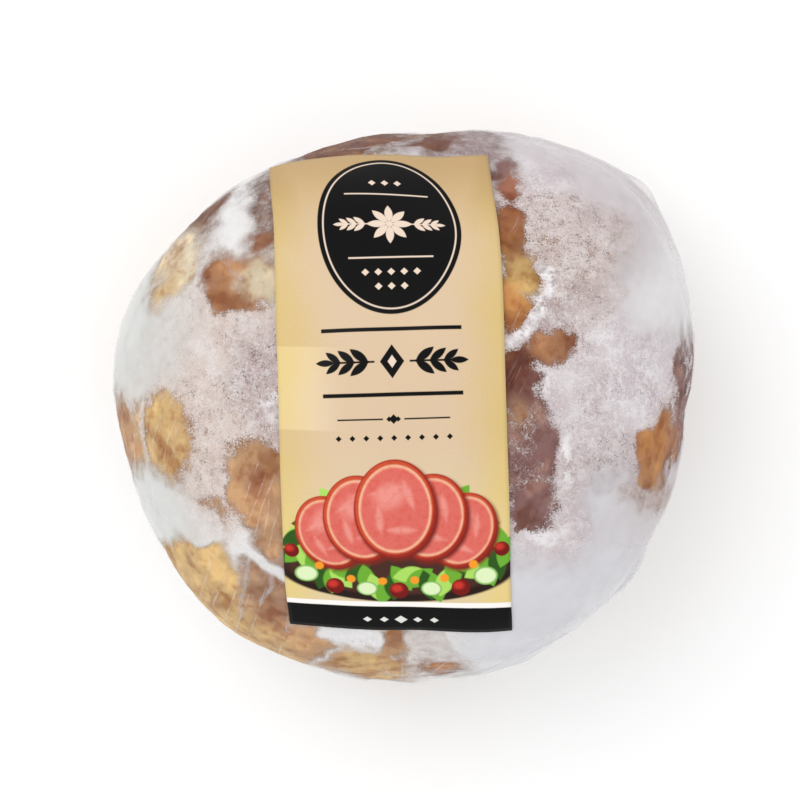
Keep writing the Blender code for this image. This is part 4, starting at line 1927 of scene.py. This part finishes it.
@dataclass(frozen=True)
class PaperLabel:
    """The label: a thin sheet that is laid over the crown from its middle outwards."""

    width: float = 56.2 * MM
    length: float = 133.0 * MM
    thickness: float = 0.14 * MM
    lift: float = 0.22 * MM
    middle: tuple[float, float] = (-3.3 * MM, 6.4 * MM)
    lean: float = 1.6
    cells_across: int = 48
    cells_along: int = 110
    drop_height: float = 1.0
    least_lift_mm: float = 0.14
    wave_mm: float = 0.10
    fine_wave_mm: float = 0.04
    crease_mm: float = 0.10
    crease_place: tuple[float, float] = (-14.0, 9.2)
    pucker_mm: float = 0.16
    pucker_place: tuple[float, float] = (20.0, -62.0)

    def walk(self, skin: BVHTree, start: Vector, heading: Vector, distance: float, steps: int) -> Row:
        """Go over the skin the way that heading says.

        Args:
            skin: The skin.
            start: Where to start.
            heading: Which way to go.
            distance: How far to go.
            steps: In how many steps.

        Returns:
            The point and normal at the start and after each step.
        """
        point, normal = skin.find_nearest(start)[:2]
        found = [(point, normal)]
        for _ in range(steps):
            along = (heading - normal * heading.dot(normal)).normalized()
            point, normal = skin.find_nearest(point + along * (distance / steps))[:2]
            found.append((point, normal))
        return found

    def both_ways(self, skin: BVHTree, start: Vector, heading: Vector, length: float, cells: int) -> Row:
        """Go half of a length each way from a start, and list what is met from end to end."""
        ahead = self.walk(skin, start, heading, length / 2, cells // 2)
        back = self.walk(skin, start, -heading, length / 2, cells // 2)
        return back[:0:-1] + ahead

    def rows(self, skin: BVHTree) -> list[Row]:
        """Lay the sheet's grid over the skin, row by row from its foot up."""
        lean = math.radians(self.lean)
        along = Vector((-math.sin(lean), math.cos(lean), 0))
        across = Vector((math.cos(lean), math.sin(lean), 0))
        crown = skin.ray_cast(Vector((*self.middle, self.drop_height)), Vector((0, 0, -1)))[0]
        spine = self.both_ways(skin, crown, along, self.length, self.cells_along)
        return [self.both_ways(skin, point, across, self.width, self.cells_across) for point, _ in spine]

    def unevenness(self, share_across: float, share_along: float) -> float:
        """How far the paper lifts off the film.

        It waves a little all over, is creased on the left, and puckers by its right foot.

        Args:
            share_across: The place, from 0 at the sheet's left edge to 1 at its right.
            share_along: The place, from 0 at the sheet's foot to 1 at its top.

        Returns:
            The paper's lift.
        """
        across = (share_across - 0.5) * self.width / MM
        along = (share_along - 0.5) * self.length / MM
        waves = self.wave_mm * noise.noise(Vector((across / 13, along / 17, 1.7)))
        waves += self.fine_wave_mm * noise.noise(Vector((across / 4, along / 5, 4.1)))
        right, high = self.crease_place
        crease = self.crease_mm * math.exp(-(((along - high) / 0.7) ** 2))
        crease *= max(0.0, min(1.0, (right - across) / 6))
        right, high = self.pucker_place
        pucker = self.pucker_mm * math.exp(-(((across - right) / 6) ** 2) - ((along - high) / 4) ** 2)
        pucker *= noise.noise(Vector(((across + along) / 1.6, (across - along) / 5, 8.0)))
        return (waves + crease + pucker + self.least_lift_mm) * MM

    def build(self, skin: BVHTree) -> bpy.types.Object:
        """Lay the label over the skin as a closed sheet.

        Args:
            skin: The pack's skin.

        Returns:
            The piece.
        """
        form = bmesh.new()
        printed, under, places = [], [], {}
        for i, row in enumerate(self.rows(skin)):
            shares = [(j / self.cells_across, i / self.cells_along) for j in range(len(row))]
            lifts = [self.lift + self.thickness + self.unevenness(*share) for share in shares]
            printed.append([form.verts.new(spot + normal * lift) for (spot, normal), lift in zip(row, lifts)])
            under.append([form.verts.new(spot + normal * self.lift) for spot, normal in row])
            places.update(zip(printed[i] + under[i], shares + shares))
        for sheet in (printed, under):
            for near, far in zip(sheet, sheet[1:]):
                for corners in zip(near, near[1:], far[1:], far):
                    form.faces.new(corners if sheet is printed else corners[::-1])
        pairs = {upper: lower for rows in zip(printed, under) for upper, lower in zip(*rows)}
        for edge in [edge for edge in form.edges if edge.is_boundary]:
            first, second = edge.verts
            if first in pairs:
                form.faces.new((first, second, pairs[second], pairs[first]))
        bmesh.ops.recalc_face_normals(form, faces=form.faces)
        uv = form.loops.layers.uv.new("print")
        for face in form.faces:
            face.smooth = len({vertex in pairs for vertex in face.verts}) == 1
            for loop in face.loops:
                loop[uv].uv = places[loop.vert]
        mesh = bpy.data.meshes.new("paper label")
        form.to_mesh(mesh)
        form.free()
        piece = bpy.data.objects.new("paper_label", mesh)
        bpy.context.scene.collection.objects.link(piece)
        return piece


@dataclass(frozen=True)
class Studio:
    """The plain pale floor, white light all round and one soft lamp from behind on the left."""

    floor_size: float = 4.0
    sky: float = 1.0
    sky_colour: Colour = (1.0, 1.0, 1.0, 1.0)
    lamp_place: Triple = (-0.55, 0.50, 1.15)
    lamp_size: float = 0.9
    lamp_power: float = 4.0
    aim: Triple = (0.0, 0.0, 0.05)

    def build(self) -> None:
        """Make the floor, the sky and the lamp."""
        bpy.ops.mesh.primitive_plane_add(size=self.floor_size, location=(0, 0, 0))
        floor = bpy.context.object
        floor.name = "floor"
        floor.data.materials.append(FloorFinish().material())
        world = bpy.data.worlds.new("soft studio")
        bpy.context.scene.world = world
        world.use_nodes = True
        backdrop = world.node_tree.nodes["Background"]
        backdrop.inputs["Color"].default_value = self.sky_colour
        backdrop.inputs["Strength"].default_value = self.sky
        self.build_lamp()
        bpy.context.scene.view_settings.view_transform = "Standard"

    def build_lamp(self) -> None:
        """Add the square soft lamp that points at the pack."""
        data = bpy.data.lights.new("key", "AREA")
        data.size = self.lamp_size
        data.energy = self.lamp_power
        lamp = bpy.data.objects.new("key", data)
        lamp.location = self.lamp_place
        sight = Vector(self.aim) - Vector(self.lamp_place)
        lamp.rotation_euler = sight.to_track_quat("-Z", "Y").to_euler()
        bpy.context.scene.collection.objects.link(lamp)


def finish_piece(piece: bpy.types.Object, node: str, finish: Finish | None = None) -> None:
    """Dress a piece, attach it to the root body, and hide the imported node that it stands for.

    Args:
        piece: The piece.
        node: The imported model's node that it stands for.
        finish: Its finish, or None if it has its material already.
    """
    if finish is not None:
        piece.data.materials.append(finish.material())
    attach(piece, "root")
    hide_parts(node)
    piece.data.calc_loop_triangles()
    LOG.info("%s: %d triangles", piece.name, len(piece.data.loop_triangles))


FULL_CUTS = 126


def main() -> None:
    """Build the camera, the studio, the layers of the pack and the label."""
    camera = Overhead()
    camera.build()
    Studio().build()
    effects = SharedEffects()
    form = PackForm(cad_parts["pack"], camera, FULL_CUTS)
    ham = FrozenHam(form, FrostMap(form))
    finish_piece(ham.build_meat(), "pack", MeatFinish(effects))
    frost = ham.build_frost()
    finish_piece(frost, "pack", FrostFinish(effects))
    grains = LooseGrains().build(frost, GrainFinish().material())
    finish_piece(grains, "pack")
    finish_piece(ham.build_film(), "pack", FilmFinish())
    faces = [list(face.vertices) for face in form.grid.polygons]
    skin = BVHTree.FromPolygons([Vector(point) for point in form.points], faces)
    creases = FilmCreases().build(skin, camera, CreaseFinish().material())
    finish_piece(creases, "pack")
    label = PaperLabel()
    print_finish = PrintFinish(effects, label.width, label.length)
    finish_piece(label.build(skin), "label", print_finish)


if __name__ == "__main__":
    main()
